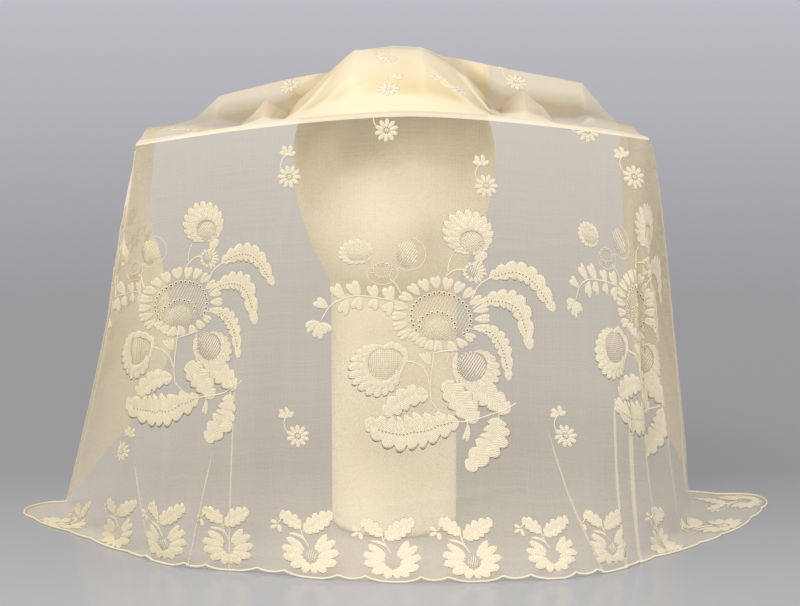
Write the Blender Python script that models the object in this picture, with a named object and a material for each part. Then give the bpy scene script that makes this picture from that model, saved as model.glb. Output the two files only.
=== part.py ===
"""A wedding veil of embroidered net, spread over a featureless head form that stands on a table.

Metres, +Z up. The origin is the centre of the head form's base, the veil's decorated hem faces -Y
and +X is the wearer's left-hand side as seen from the front, to the right. The veil is one cloth:
each stretch of it between two folds is a thin closed wall of its own.
"""

import math

import bmesh
import bpy
from mathutils import Vector

# ---- driving sizes -------------------------------------------------------------------------------
NET_WALL = 0.0012  # wall that stands for the net
SEAM_GAP = 0.0003  # between two stretches of cloth, and between cloth and head
FOLD_INSET = 0.0011  # how far a hanging stretch starts below the stretch that carries it
SIDE_INSET = 0.0014  # between a side fall and the front's edge, where they meet at a fold
EDGING_GAP = 0.0013  # before the hem edging, whose wall leans differently where the cloth lands

NECK_RADIUS = 0.0565
NECK_EDGE = 0.008  # rounding of the neck's bottom edge
NECK_TOP = 0.2217
HEAD_WIDEST = 0.336  # height at which the head is widest
HEAD_TOP = 0.4328
HEAD_HALF_WIDTH = 0.090
HEAD_FRONT = 0.100
HEAD_BACK = 0.0955
HEAD_SIDES = 44

BROW_Y = -0.140  # the sharp crease over the brow
BAND_DEPTH = 0.008  # the tuck that stiffens the crease, from front to back
BAND_HEIGHT = 0.0036
FOLD_Y = -0.020  # where the two tent folds peak
DIP_Y = 0.035
REAR_Y = 0.090

HEM_BAND = 0.0060  # width of the corded edging along the hem
SCALLOP_DEPTH = 0.0040
HEM_REPEATS = 13
FRONT_STEPS = HEM_REPEATS * 6
LONG_LOBE = 0.70  # share of one repeat that the long lobe takes

# The head below its widest ring: height, half width, reach to the front and to the back.
HEAD_RINGS = (
    {"z": 0.2220, "half_width": 0.0560, "front": 0.0570, "back": 0.0560},
    {"z": 0.2330, "half_width": 0.0605, "front": 0.0690, "back": 0.0610},
    {"z": 0.2450, "half_width": 0.0668, "front": 0.0790, "back": 0.0690},
    {"z": 0.2650, "half_width": 0.0757, "front": 0.0890, "back": 0.0790},
    {"z": 0.2900, "half_width": 0.0838, "front": 0.0960, "back": 0.0880},
    {"z": 0.3150, "half_width": 0.0886, "front": 0.0992, "back": 0.0940},
)

# The top of the veil, one row for each line that runs from the brow to the rear. x is given at the
# brow and at the rear; the heights are at the fold, dip and rear lines.
TOP_LINES = (
    {"name": "left corner", "x": -0.217, "x_rear": -0.2186, "fold": 0.366, "dip": 0.358, "rear": 0.347},
    {"name": "left shoulder", "x": -0.190, "x_rear": -0.183, "fold": 0.369, "dip": 0.362, "rear": 0.360},
    {"name": "rear left peak", "x": -0.166, "x_rear": -0.160, "fold": 0.3675, "dip": 0.367, "rear": 0.380},
    {"name": "left valley", "x": -0.140, "x_rear": -0.136, "fold": 0.3665, "dip": 0.365, "rear": 0.3862},
    {"name": "left tent", "x": -0.111, "x_rear": -0.112, "fold": 0.3917, "dip": 0.366, "rear": 0.3922},
    {"name": "left tent foot", "x": -0.1015, "x_rear": -0.101, "fold": 0.3835, "dip": 0.367, "rear": 0.3947},
    {"name": "crown left foot", "x": -0.094, "x_rear": -0.090, "fold": 0.3812, "dip": 0.376, "rear": 0.3965},
    {"name": "crown left side", "x": -0.065, "x_rear": -0.062, "fold": 0.4095, "dip": 0.404, "rear": 0.402},
    {"name": "crown left peak", "x": -0.036, "x_rear": -0.034, "fold": 0.4352, "dip": 0.428, "rear": 0.408},
    {"name": "crown middle", "x": -0.004, "x_rear": 0.000, "fold": 0.4356, "dip": 0.4325, "rear": 0.415},
    {"name": "crown right peak", "x": 0.026, "x_rear": 0.025, "fold": 0.4346, "dip": 0.431, "rear": 0.418},
    {"name": "crown right side", "x": 0.045, "x_rear": 0.046, "fold": 0.424, "dip": 0.421, "rear": 0.4165},
    {"name": "crown temple", "x": 0.063, "x_rear": 0.064, "fold": 0.411, "dip": 0.4075, "rear": 0.4135},
    {"name": "crown right foot", "x": 0.082, "x_rear": 0.084, "fold": 0.386, "dip": 0.385, "rear": 0.4092},
    {"name": "right tent foot", "x": 0.0925, "x_rear": 0.094, "fold": 0.383, "dip": 0.374, "rear": 0.4072},
    {"name": "right tent", "x": 0.112, "x_rear": 0.114, "fold": 0.4018, "dip": 0.372, "rear": 0.403},
    {"name": "right tent edge", "x": 0.139, "x_rear": 0.140, "fold": 0.375, "dip": 0.3695, "rear": 0.3982},
    {"name": "right valley", "x": 0.158, "x_rear": 0.159, "fold": 0.373, "dip": 0.369, "rear": 0.3944},
    {"name": "rear right peak", "x": 0.172, "x_rear": 0.1727, "fold": 0.375, "dip": 0.371, "rear": 0.3917},
    {"name": "right shoulder", "x": 0.192, "x_rear": 0.190, "fold": 0.3715, "dip": 0.367, "rear": 0.371},
    {"name": "right corner", "x": 0.2147, "x_rear": 0.2071, "fold": 0.3675, "dip": 0.361, "rear": 0.352},
)
CROWN_FROM = "crown left foot"
CROWN_TO = "crown right foot"

# The front of the veil, one row for each line that falls from the brow to the table: where its end
# lies, where on the brow it starts, how much of it lies flat on the table, and how late it flares.
FALL_LINES = (
    {"name": "left side edge", "x": -0.307, "y": 0.066, "brow_x": -0.2168, "flat": 0.000, "flare": 1.20},
    {"name": "left tip rear", "x": -0.328, "y": 0.059, "brow_x": -0.2162, "flat": 0.024, "flare": 1.24},
    {"name": "left tip", "x": -0.345, "y": 0.033, "brow_x": -0.2153, "flat": 0.045, "flare": 1.30},
    {"name": "left tip front", "x": -0.326, "y": 0.000, "brow_x": -0.2132, "flat": 0.036, "flare": 1.42},
    {"name": "left corner", "x": -0.284, "y": -0.046, "brow_x": -0.2085, "flat": 0.015, "flare": 1.70},
    {"name": "left bend", "x": -0.236, "y": -0.098, "brow_x": -0.1990, "flat": 0.004, "flare": 2.60},
    {"name": "left front", "x": -0.187, "y": -0.139, "brow_x": -0.1850, "flat": 0.000, "flare": 5.00},
    {"name": "left quarter", "x": -0.121, "y": -0.155, "brow_x": -0.1250, "flat": 0.000, "flare": 7.00},
    {"name": "left of middle", "x": -0.055, "y": -0.177, "brow_x": -0.0600, "flat": 0.000, "flare": 8.00},
    {"name": "middle", "x": 0.020, "y": -0.186, "brow_x": 0.0120, "flat": 0.000, "flare": 8.00},
    {"name": "right quarter", "x": 0.106, "y": -0.180, "brow_x": 0.0930, "flat": 0.000, "flare": 8.00},
    {"name": "right front", "x": 0.160, "y": -0.169, "brow_x": 0.1450, "flat": 0.000, "flare": 7.00},
    {"name": "right bend", "x": 0.201, "y": -0.143, "brow_x": 0.1830, "flat": 0.000, "flare": 4.50},
    {"name": "right corner", "x": 0.240, "y": -0.104, "brow_x": 0.2020, "flat": 0.012, "flare": 2.60},
    {"name": "right corner outer", "x": 0.289, "y": -0.055, "brow_x": 0.2090, "flat": 0.034, "flare": 1.60},
    {"name": "right tip front", "x": 0.325, "y": 0.000, "brow_x": 0.2120, "flat": 0.058, "flare": 1.10},
    {"name": "right tip", "x": 0.348, "y": 0.055, "brow_x": 0.2132, "flat": 0.074, "flare": 0.84},
    {"name": "right tip rear", "x": 0.340, "y": 0.088, "brow_x": 0.2138, "flat": 0.066, "flare": 0.78},
    {"name": "right far edge", "x": 0.307, "y": 0.092, "brow_x": 0.2142, "flat": 0.033, "flare": 0.76},
    {"name": "right side edge", "x": 0.276, "y": 0.101, "brow_x": 0.2145, "flat": 0.000, "flare": 0.74},
)
FLAT_TOWARDS = (0.0, 0.0)  # cloth that lies on the table runs in towards this point

# Pleats and soft folds of the front: position along the hem from 0 to 1, half width, how far the
# cloth stands out, and the stretch of the fall that the fold takes, from 0 at the brow to 1.
FRONT_FOLDS = (
    {"name": "left edge roll", "at": 0.060, "half_width": 0.018, "out": 0.0050, "top": 0.15, "foot": 0.80},
    {"name": "left corner pleat", "at": 0.175, "half_width": 0.016, "out": 0.0060, "top": 0.15, "foot": 0.97},
    {"name": "left hem pleat", "at": 0.255, "half_width": 0.012, "out": 0.0050, "top": 0.60, "foot": 1.02},
    {"name": "left long pleat", "at": 0.320, "half_width": 0.011, "out": 0.0075, "top": 0.45, "foot": 0.99},
    {"name": "middle hollow", "at": 0.475, "half_width": 0.030, "out": -0.0030, "top": 0.55, "foot": 1.02},
    {"name": "right hem crease", "at": 0.640, "half_width": 0.013, "out": 0.0060, "top": 0.62, "foot": 1.02},
    {"name": "right inner pleat", "at": 0.712, "half_width": 0.012, "out": 0.0080, "top": 0.08, "foot": 0.98},
    {"name": "right hollow", "at": 0.742, "half_width": 0.010, "out": -0.0060, "top": 0.10, "foot": 0.96},
    {"name": "right outer pleat", "at": 0.772, "half_width": 0.013, "out": 0.0080, "top": 0.08, "foot": 0.95},
    {"name": "right edge roll", "at": 0.880, "half_width": 0.020, "out": 0.0040, "top": 0.15, "foot": 0.80},
)

# The rear edge of each side fall and its lower edge, from the rear corner forward to the table.
SIDE_FALLS = (
    {
        "name": "side_fall_left",
        "fall_end": 0.0,
        "corner": "left corner",
        "rear_edge": ((-0.2260, 0.091, 0.270), (-0.2160, 0.092, 0.225), (-0.2040, 0.093, 0.147)),
        "lower_edge": ((-0.2380, 0.090, 0.078), (-0.2800, 0.078, 0.030)),
        "bulge": -0.010,
    },
    {
        "name": "side_fall_right",
        "fall_end": 1.0,
        "corner": "right corner",
        "rear_edge": ((0.2120, 0.092, 0.270), (0.2160, 0.095, 0.225), (0.2250, 0.100, 0.130)),
        "lower_edge": ((0.2450, 0.102, 0.090), (0.2650, 0.102, 0.040)),
        "bulge": 0.006,
    },
)

# The back fall, gathered behind the head: height, its two sides, and how far back it hangs.
BACK_ROWS = (
    {"z": 0.4130, "left": -0.0894, "right": 0.0834, "y": 0.0915},
    {"z": 0.3950, "left": -0.0880, "right": 0.0830, "y": 0.1010},
    {"z": 0.3650, "left": -0.0860, "right": 0.0825, "y": 0.1080},
    {"z": 0.3200, "left": -0.0810, "right": 0.0790, "y": 0.1110},
    {"z": 0.2750, "left": -0.0700, "right": 0.0700, "y": 0.1100},
    {"z": 0.2300, "left": -0.0560, "right": 0.0560, "y": 0.1050},
    {"z": 0.1800, "left": -0.0520, "right": 0.0520, "y": 0.1020},
    {"z": 0.1300, "left": -0.0530, "right": 0.0530, "y": 0.1040},
    {"z": 0.0800, "left": -0.0545, "right": 0.0545, "y": 0.1090},
)
BACK_PLEATS = 5
BACK_PLEAT_DEPTH = 0.0075

MATERIALS = {
    "net": {"color": (0.86, 0.78, 0.60), "roughness": 0.85},
    "edging": {"color": (0.90, 0.84, 0.70), "roughness": 0.80},
    "linen": {"color": (0.82, 0.76, 0.66), "roughness": 0.90},
}


# ---- scene and material helpers ------------------------------------------------------------------
def clear_scene():
    for obj in list(bpy.data.objects):
        bpy.data.objects.remove(obj, do_unlink=True)


def material(name):
    made = bpy.data.materials.get(name)
    if made is None:
        made = bpy.data.materials.new(name)
        made.use_nodes = True
        shader = made.node_tree.nodes["Principled BSDF"]
        shader.inputs["Base Color"].default_value = (*MATERIALS[name]["color"], 1)
        shader.inputs["Roughness"].default_value = MATERIALS[name]["roughness"]
        shader.inputs["Metallic"].default_value = 0
    return made


def add_object(name, mesh_builder, material_name):
    """A named object from a bmesh, smooth but for its sharp edges."""
    bmesh.ops.recalc_face_normals(mesh_builder, faces=mesh_builder.faces)
    mesh = bpy.data.meshes.new(name)
    mesh_builder.to_mesh(mesh)
    mesh_builder.free()
    mesh.shade_smooth()
    mesh.set_sharp_from_angle(angle=math.radians(50))
    mesh.materials.append(material(material_name))
    obj = bpy.data.objects.new(name, mesh)
    bpy.context.scene.collection.objects.link(obj)
    return obj


# ---- curves --------------------------------------------------------------------------------------
def smooth_through(values, position):
    """Value at a position counted in rows, on a curve that passes through each row's value."""
    last = len(values) - 1
    position = min(max(position, 0.0), float(last))
    row = min(int(position), last - 1)
    part = position - row
    before = values[max(row - 1, 0)]
    here, there = values[row], values[row + 1]
    after = values[min(row + 2, last)]
    return (
        here
        + 0.5 * part * (there - before)
        + part * part * (before - 2.5 * here + 2 * there - 0.5 * after)
        + 0.5 * part**3 * (3 * (here - there) + after - before)
    )


def eased(value, start, end):
    """0 before start, 1 after end, with a soft step between."""
    share = min(max((value - start) / (end - start), 0.0), 1.0)
    return share * share * (3 - 2 * share)


def brow_height(x):
    """Height of the crease over the brow, a shallow arch that is highest in the middle."""
    reach = abs(x - 0.014) / 0.2147
    return 0.3946 - 0.0222 * reach**1.55


def band_share(x):
    """The tuck along the brow is full in the middle and dies out at both corners."""
    return 1.0 - 0.72 * min(abs(x) / 0.2147, 1.0) ** 3


# ---- the top of the veil -------------------------------------------------------------------------
def top_point(line, depth):
    """Point of the top on one line (a row number, or between two), depth 0 at the brow, 1 at the rear."""
    row = min(int(line), len(TOP_LINES) - 2)
    part = line - row

    def mixed(column):
        return TOP_LINES[row][column] * (1 - part) + TOP_LINES[row + 1][column] * part

    front_y = BROW_Y + BAND_DEPTH
    y = front_y + (REAR_Y - front_y) * depth
    x = mixed("x") * (1 - depth) + mixed("x_rear") * depth
    brow = brow_height(mixed("x")) + BAND_HEIGHT * band_share(mixed("x"))
    if y < FOLD_Y:
        share = math.sin(math.pi / 2 * (y - front_y) / (FOLD_Y - front_y))
        z = brow + (mixed("fold") - brow) * share
    elif y < DIP_Y:
        z = mixed("fold") + (mixed("dip") - mixed("fold")) * eased(y, FOLD_Y, DIP_Y)
    else:
        share = eased(y, DIP_Y, REAR_Y + 0.02) / eased(REAR_Y, DIP_Y, REAR_Y + 0.02)
        z = mixed("dip") + (mixed("rear") - mixed("dip")) * share
    return Vector((x, y, z))


def line_number(name):
    return next(row for row, line in enumerate(TOP_LINES) if line["name"] == name)


# ---- the front of the veil -----------------------------------------------------------------------
def fall_steps():
    """Distance along the hem from the left side edge to each line of the front, from 0 to 1."""
    steps = [0.0]
    for here, there in zip(FALL_LINES, FALL_LINES[1:]):
        steps.append(steps[-1] + math.hypot(there["x"] - here["x"], there["y"] - here["y"]))
    return [step / steps[-1] for step in steps], steps[-1]


FALL_STEPS, HEM_LENGTH = fall_steps()


def fall_value(column, along):
    """A column of the front's table at a share of the hem's length."""
    spans = range(len(FALL_STEPS) - 1)
    row = next((i for i in spans if FALL_STEPS[i + 1] >= along), len(FALL_STEPS) - 2)
    part = (along - FALL_STEPS[row]) / (FALL_STEPS[row + 1] - FALL_STEPS[row])
    return smooth_through([line[column] for line in FALL_LINES], row + part)


def plain_fall_point(along, down):
    """Point of the front before its folds: along the hem from 0 to 1, down from the brow 0 to the hem 1."""
    down = min(max(down, 0.0), 1.0)
    brow_x = fall_value("brow_x", along)
    top = Vector((brow_x, BROW_Y, brow_height(brow_x)))
    end = Vector((fall_value("x", along), fall_value("y", along), NET_WALL / 2))
    flat = max(fall_value("flat", along), 0.0)
    landing = end.xy + (Vector(FLAT_TOWARDS) - end.xy).normalized() * flat
    drop = top.z - end.z
    landed = drop / (drop + flat)
    if down > landed:
        plan = landing.lerp(end.xy, (down - landed) / (1 - landed))
        return Vector((plan.x, plan.y, end.z))
    share = down / landed
    plan = top.xy.lerp(landing, share ** fall_value("flare", along))
    return Vector((plan.x, plan.y, top.z - drop * share))


def fall_point(along, down):
    """Point of the front, with its landing rounded off and its pleats raised outwards."""
    reach = 0.02 * min(1.0, (1 - down) / 0.02, down / 0.02)
    around = plain_fall_point(along, down - reach) + plain_fall_point(along, down + reach)
    point = (around + plain_fall_point(along, down) * 2) / 4
    out = 0.0
    for fold in FRONT_FOLDS:
        across = (along - fold["at"]) * HEM_LENGTH / fold["half_width"]
        if abs(across) < 2.5:
            grown = eased(down, fold["top"], fold["top"] + 0.3)
            faded = 1 - eased(down, fold["foot"] - 0.12, fold["foot"])
            out += fold["out"] * math.exp(-across * across) * grown * faded
    lift = point.z / (point.z + 0.02) * eased(min(along, 1 - along) * HEM_LENGTH, 0.0, 0.04)
    step = 0.004
    run = plain_fall_point(min(along + step, 1), down) - plain_fall_point(max(along - step, 0), down)
    outward = Vector((run.y, -run.x, 0)).normalized()
    return point + outward * out * lift


def hem_depth(along):
    """How far the scalloped edge stays inside the hem line at a share of the hem's length."""
    place = (along * HEM_REPEATS + 0.15) % 1.0
    if place < LONG_LOBE:
        share = place / LONG_LOBE
        return SCALLOP_DEPTH * (1 - math.sin(math.pi * share) ** 0.6)
    share = (place - LONG_LOBE) / (1 - LONG_LOBE)
    return SCALLOP_DEPTH * (1 - 0.75 * math.sin(math.pi * share) ** 0.6)


def fall_length(along):
    """Length of one line of the front from the brow to the hem."""
    pieces = 24
    points = [plain_fall_point(along, i / pieces) for i in range(pieces + 1)]
    return sum((b - a).length for a, b in zip(points, points[1:]))


# ---- walls from grids of points ------------------------------------------------------------------
def grid_normals(grid):
    rows, columns = len(grid), len(grid[0])
    normals = []
    for i in range(rows):
        line = []
        for j in range(columns):
            down = grid[min(i + 1, rows - 1)][j] - grid[max(i - 1, 0)][j]
            across = grid[i][min(j + 1, columns - 1)] - grid[i][max(j - 1, 0)]
            line.append(down.cross(across).normalized())
        normals.append(line)
    return normals


def add_wall(name, grid, material_name, wall=NET_WALL):
    """A closed wall whose middle is the grid of points, no lower than the table."""
    normals = grid_normals(grid)
    rows, columns = len(grid), len(grid[0])
    shape = bmesh.new()
    sides = []
    for sign in (0.5, -0.5):
        layer = []
        for i in range(rows):
            line = []
            for j in range(columns):
                point = grid[i][j] + normals[i][j] * wall * sign
                line.append(shape.verts.new((point.x, point.y, max(point.z, 0.0))))
            layer.append(line)
        sides.append(layer)
    for i in range(rows - 1):
        for j in range(columns - 1):
            # A twisted cell is split along its shorter diagonal, and the same way on both sides.
            corners = [(i, j), (i, j + 1), (i + 1, j + 1), (i + 1, j)]
            one, two, three, four = (grid[k][m] for k, m in corners)
            if (one - three).length > (two - four).length:
                corners = corners[1:] + corners[:1]
            for triangle in (corners[:3], corners[2:] + corners[:1]):
                shape.faces.new([sides[0][k][m] for k, m in triangle])
                shape.faces.new([sides[1][k][m] for k, m in reversed(triangle)])
    upper, lower = sides
    rim = [(0, j) for j in range(columns - 1)]
    rim += [(i, columns - 1) for i in range(rows - 1)]
    rim += [(rows - 1, j) for j in range(columns - 1, 0, -1)]
    rim += [(i, 0) for i in range(rows - 1, 0, -1)]
    for (i, j), (k, m) in zip(rim, rim[1:] + rim[:1]):
        shape.faces.new((upper[i][j], lower[i][j], lower[k][m], upper[k][m]))
    return add_object(name, shape, material_name)


# ---- the head form -------------------------------------------------------------------------------
def oval_ring(shape, z, half_width, front, back):
    ring = []
    for i in range(HEAD_SIDES):
        turn = 2 * math.pi * i / HEAD_SIDES
        reach = front if math.sin(turn) < 0 else back
        ring.append(shape.verts.new((half_width * math.cos(turn), reach * math.sin(turn), z)))
    return ring


def join_rings(shape, rings):
    for below, above in zip(rings, rings[1:]):
        for i in range(len(below)):
            j = (i + 1) % len(below)
            shape.faces.new((below[i], below[j], above[j], above[i]))


def build_head():
    shape = bmesh.new()
    rings = [oval_ring(shape, **ring) for ring in HEAD_RINGS]
    levels = 12
    for i in range(levels):
        rise = math.pi / 2 * i / levels
        share = math.cos(rise)
        z = HEAD_WIDEST + (HEAD_TOP - HEAD_WIDEST) * math.sin(rise)
        rings.append(oval_ring(shape, z, HEAD_HALF_WIDTH * share, HEAD_FRONT * share, HEAD_BACK * share))
    join_rings(shape, rings)
    shape.faces.new(rings[0][::-1])
    pole = shape.verts.new((0, 0, HEAD_TOP))
    for i in range(HEAD_SIDES):
        shape.faces.new((rings[-1][i], rings[-1][(i + 1) % HEAD_SIDES], pole))
    return add_object("head_block", shape, "linen")


def build_neck():
    shape = bmesh.new()
    rings = []
    corner_steps = 4
    for i in range(corner_steps + 1):
        turn = math.pi / 2 * i / corner_steps
        radius = NECK_RADIUS - NECK_EDGE * (1 - math.sin(turn))
        rings.append(oval_ring(shape, NECK_EDGE * (1 - math.cos(turn)), radius, radius, radius))
    rings.append(oval_ring(shape, NECK_TOP, NECK_RADIUS, NECK_RADIUS, NECK_RADIUS))
    join_rings(shape, rings)
    shape.faces.new(rings[0][::-1])
    shape.faces.new(rings[-1])
    return add_object("neck_pillar", shape, "linen")


# ---- the veil ------------------------------------------------------------------------------------
def build_brow_band():
    """The narrow stiff tuck along the crease, from corner to corner."""
    section = ((0.0, 0.0), (0.0006, 0.45), (0.0030, 0.90), (BAND_DEPTH - SEAM_GAP, 1.0))
    steps = 30
    grid = []
    for back, rise in section:
        line = []
        for i in range(steps + 1):
            x = TOP_LINES[0]["x"] + (TOP_LINES[-1]["x"] - TOP_LINES[0]["x"]) * i / steps
            lift = BAND_HEIGHT * band_share(x) * rise
            line.append(Vector((x, BROW_Y + back, brow_height(x) + lift)))
        grid.append(line)
    return add_wall("brow_band", grid, "net")


def build_top(name, first, last, across_steps, lip):
    """One stretch of the top between two of its lines. A lip turns its rear edge down."""
    depth_steps = 12
    seam = SEAM_GAP
    grid = []
    for i in range(depth_steps + 1):
        line = []
        for j in range(first * across_steps, last * across_steps + 1):
            point = top_point(j / across_steps, i / depth_steps)
            if i == 0:
                point.y += seam
            line.append(point)
        grid.append(line)
    if lip:
        grid.append([point + Vector((0, 0.003, -lip)) for point in grid[-1]])
    for line in grid:
        inward = (line[-1] - line[0]).normalized() * seam
        line[0] = line[0] + inward
        line[-1] = line[-1] - inward
    return add_wall(name, grid, "net")


def edging_start(along):
    """Share of the fall at which the edging takes over from the net."""
    return 1 - (HEM_BAND + SCALLOP_DEPTH) / fall_length(along)


def build_front():
    steps_down = 12
    grid = []
    for i in range(steps_down + 1):
        line = []
        for j in range(FRONT_STEPS + 1):
            along = j / FRONT_STEPS
            length = fall_length(along)
            first = FOLD_INSET / length
            last = edging_start(along) - EDGING_GAP / length
            down = first + (last - first) * (1 - (1 - i / steps_down) ** 1.35)
            line.append(fall_point(along, down))
        grid.append(line)
    return add_wall("front_fall", grid, "net")


def build_hem(name, start, end):
    """The corded edging between two of the front's steps, with a long and a short lobe to each repeat."""
    half_steps = 2
    seam = SEAM_GAP / 2 / HEM_LENGTH
    inner = [fall_point(j / FRONT_STEPS, edging_start(j / FRONT_STEPS)) for j in range(start, end + 1)]
    grid = [[], []]
    for k in range((end - start) * half_steps + 1):
        step, part = divmod(k / half_steps, 1)
        here = inner[int(step)]
        grid[0].append(here.lerp(inner[int(step) + 1], part) if part else here.copy())
        along = (start + k / half_steps) / FRONT_STEPS
        along = min(max(along, start / FRONT_STEPS + seam), end / FRONT_STEPS - seam)
        grid[1].append(fall_point(along, 1 - hem_depth(along) / fall_length(along)))
    for line in grid:
        line[0] += (line[1] - line[0]).normalized() * SEAM_GAP / 2
        line[-1] += (line[-2] - line[-1]).normalized() * SEAM_GAP / 2
    return add_wall(name, grid, "edging")


def build_side(side):
    """A side fall: hung from the top's side edge, and bounded by the front's edge and its own lower edge."""
    steps_back, steps_down = 9, 12
    end = side["fall_end"]
    corner = line_number(side["corner"])
    rear_top = top_point(corner, 1.0)
    rear = [rear_top] + [Vector(point) for point in side["rear_edge"]]
    lower = [rear[-1]] + [Vector(point) for point in side["lower_edge"]] + [plain_fall_point(end, 1.0)]

    def through(points, share):
        place = share * (len(points) - 1)
        return Vector([smooth_through([point[axis] for point in points], place) for axis in range(3)])

    corners = (plain_fall_point(end, 0.0), rear[0], plain_fall_point(end, 1.0), rear[-1])
    grid = []
    for i in range(steps_down + 1):
        down = 0.006 + 0.970 * i / steps_down
        line = []
        for j in range(steps_back + 1):
            back = j / steps_back
            front_point = plain_fall_point(end, down)
            rear_point = through(rear, down)
            top_edge = top_point(corner, back)
            low_edge = through(lower[::-1], back)
            ruled = front_point.lerp(rear_point, back) + top_edge.lerp(low_edge, down)
            flat = corners[0].lerp(corners[1], back).lerp(corners[2].lerp(corners[3], back), down)
            point = ruled - flat
            swell = math.sin(math.pi * back) * math.sin(math.pi * down**0.6)
            ripple = 0.003 * math.sin(3 * math.pi * back) * down * (1 - back)
            point.x += side["bulge"] * swell + ripple
            if i == 0:
                point.z -= 1.4 * FOLD_INSET
            line.append(point)
        line[0] = line[0] + (line[1] - line[0]).normalized() * SIDE_INSET
        grid.append(line)
    return add_wall(side["name"], grid, "net")


def rear_height(x):
    """Height of the top's rear edge."""
    for here, there in zip(TOP_LINES, TOP_LINES[1:]):
        if here["x_rear"] <= x <= there["x_rear"]:
            part = (x - here["x_rear"]) / (there["x_rear"] - here["x_rear"])
            return here["rear"] * (1 - part) + there["rear"] * part


def build_back():
    """The rest of the cloth, gathered into soft pleats behind the head."""
    steps_across, steps_down = 25, 10
    grid = []
    for i in range(steps_down + 1):
        down = i / steps_down
        z, left, right, y = (
            smooth_through([row[column] for row in BACK_ROWS], down * (len(BACK_ROWS) - 1))
            for column in ("z", "left", "right", "y")
        )
        depth = BACK_PLEAT_DEPTH * eased(down, 0.0, 0.45)
        line = []
        for j in range(steps_across + 1):
            across = j / steps_across
            wave = 0.5 + 0.5 * math.cos(2 * math.pi * BACK_PLEATS * across)
            x = left + (right - left) * across
            line.append(Vector((x, y + depth * wave, z)))
        grid.append(line)
    for point in grid[0]:
        point.z = rear_height(point.x) + NET_WALL / 2
    for point, above in zip(grid[1], grid[0]):
        point.z += (above.z - BACK_ROWS[0]["z"]) * 0.4
    return add_wall("back_fall", grid, "net")


def main():
    clear_scene()
    build_head()
    build_neck()
    build_brow_band()
    crown_first, crown_last = line_number(CROWN_FROM), line_number(CROWN_TO)
    build_top("wing_left", 0, crown_first, 1, 0.010)
    build_top("crown", crown_first, crown_last, 2, 0.0)
    build_top("wing_right", crown_last, len(TOP_LINES) - 1, 1, 0.010)
    build_front()
    third = FRONT_STEPS // 3
    build_hem("hem_edging_left", 0, third)
    build_hem("hem_edging_front", third, 2 * third)
    build_hem("hem_edging_right", 2 * third, FRONT_STEPS)
    for side in SIDE_FALLS:
        build_side(side)
    build_back()


main()
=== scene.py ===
# %% [markdown]
# # A wedding veil of embroidered net on a head form
#
# The veil is one cloth of fine cotton net. It is creased sharply over the brow, falls to the table in
# front, hangs in folds at both sides and is gathered behind the head. Cream satin stitch, eyelets and
# drawn-thread bars decorate the front, and a scalloped cord closes the hem. This lesson dresses the
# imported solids: each stretch of cloth becomes a thin shell, and the embroidery is laid on its surface.

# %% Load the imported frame
import math

import bmesh
import bpy
import numpy as np
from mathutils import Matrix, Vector


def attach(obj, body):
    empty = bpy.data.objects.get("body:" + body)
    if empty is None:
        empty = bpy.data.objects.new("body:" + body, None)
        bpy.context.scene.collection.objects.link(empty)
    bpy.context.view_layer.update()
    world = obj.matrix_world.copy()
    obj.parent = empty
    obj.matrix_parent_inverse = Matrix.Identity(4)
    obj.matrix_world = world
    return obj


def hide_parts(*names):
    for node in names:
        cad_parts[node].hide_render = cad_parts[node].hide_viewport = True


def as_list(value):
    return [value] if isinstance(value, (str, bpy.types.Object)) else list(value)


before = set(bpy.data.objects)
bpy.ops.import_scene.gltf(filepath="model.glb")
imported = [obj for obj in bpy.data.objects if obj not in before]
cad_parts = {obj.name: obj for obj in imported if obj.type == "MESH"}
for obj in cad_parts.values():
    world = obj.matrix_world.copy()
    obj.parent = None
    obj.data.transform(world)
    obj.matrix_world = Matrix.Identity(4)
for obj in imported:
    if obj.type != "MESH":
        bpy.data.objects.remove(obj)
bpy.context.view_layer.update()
print("solids:", sorted(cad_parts))


# %% [markdown]
# ## Colours
#
# Colours are written as the eye sees them, from 0 to 255, and turned into the linear values that
# shaders use. The plain view transform keeps them as written.

# %% Colour helper and palette
def seen(red, green, blue):
    """A linear colour from one given as it is seen, 0 to 255."""
    parts = [part / 255 for part in (red, green, blue)]
    return tuple(p / 12.92 if p < 0.04045 else ((p + 0.055) / 1.055) ** 2.4 for p in parts)


NET_CREAM, NET_SHADE = seen(246, 232, 204), seen(239, 222, 188)
FOLD_CREAM = seen(247, 232, 196)
# the top's palest tone is also its painted highlight, and its deepest tone is painted shade for its hollows
TOP_PALE_AND_HIGHLIGHT, TOP_CREAM, TOP_PAINTED_SHADE = seen(239, 221, 183), seen(224, 203, 154), seen(186, 160, 108)
STITCH_WHITE, STITCH_SHADE = seen(246, 234, 208), seen(220, 202, 154)
# darker stitch colours: painted shade for the sprays in the side folds
PAINTED_SHADE_STITCH_WHITE, PAINTED_SHADE_STITCH_DARK = seen(230, 214, 174), seen(202, 184, 140)
EYELET_SHADE, EYELET_EDGE, OPEN_SHADE = seen(100, 82, 56), seen(132, 114, 86), seen(205, 198, 184)
# the darkest linen tone is painted shade, used towards the top of the head
LINEN, LINEN_SHADE, LINEN_PAINTED_SHADE = seen(252, 240, 216), seen(240, 224, 194), seen(188, 170, 132)
bpy.context.scene.view_settings.view_transform = "Standard"

# %% [markdown]
# ## Sizes of the cloth
#
# The shells follow the same rules as the solids under them, so the tables say the same: one row for
# each line of the cloth, in metres. The brow crease faces -Y, and the table is at height 0.

# %% Driving sizes and the lines of the top and the front
MM = 0.001
BROW_Y, FOLD_Y, DIP_Y, REAR_Y = -0.140, -0.020, 0.035, 0.090
BAND_DEPTH, BAND_HEIGHT = 0.008, 0.0036
HALF_BROW = 0.2147
SCALLOP_DEPTH, LONG_LOBE = 0.0045, 0.66
FALL_LENGTH = 0.40
CLOTH_CLEAR = 0.0006  # the shell's middle stays this far above the table


def columns_of(table, *names):
    """The columns of a table of named rows, each as an array."""
    return dict(zip(names, np.array(list(table.values())).T))


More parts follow.
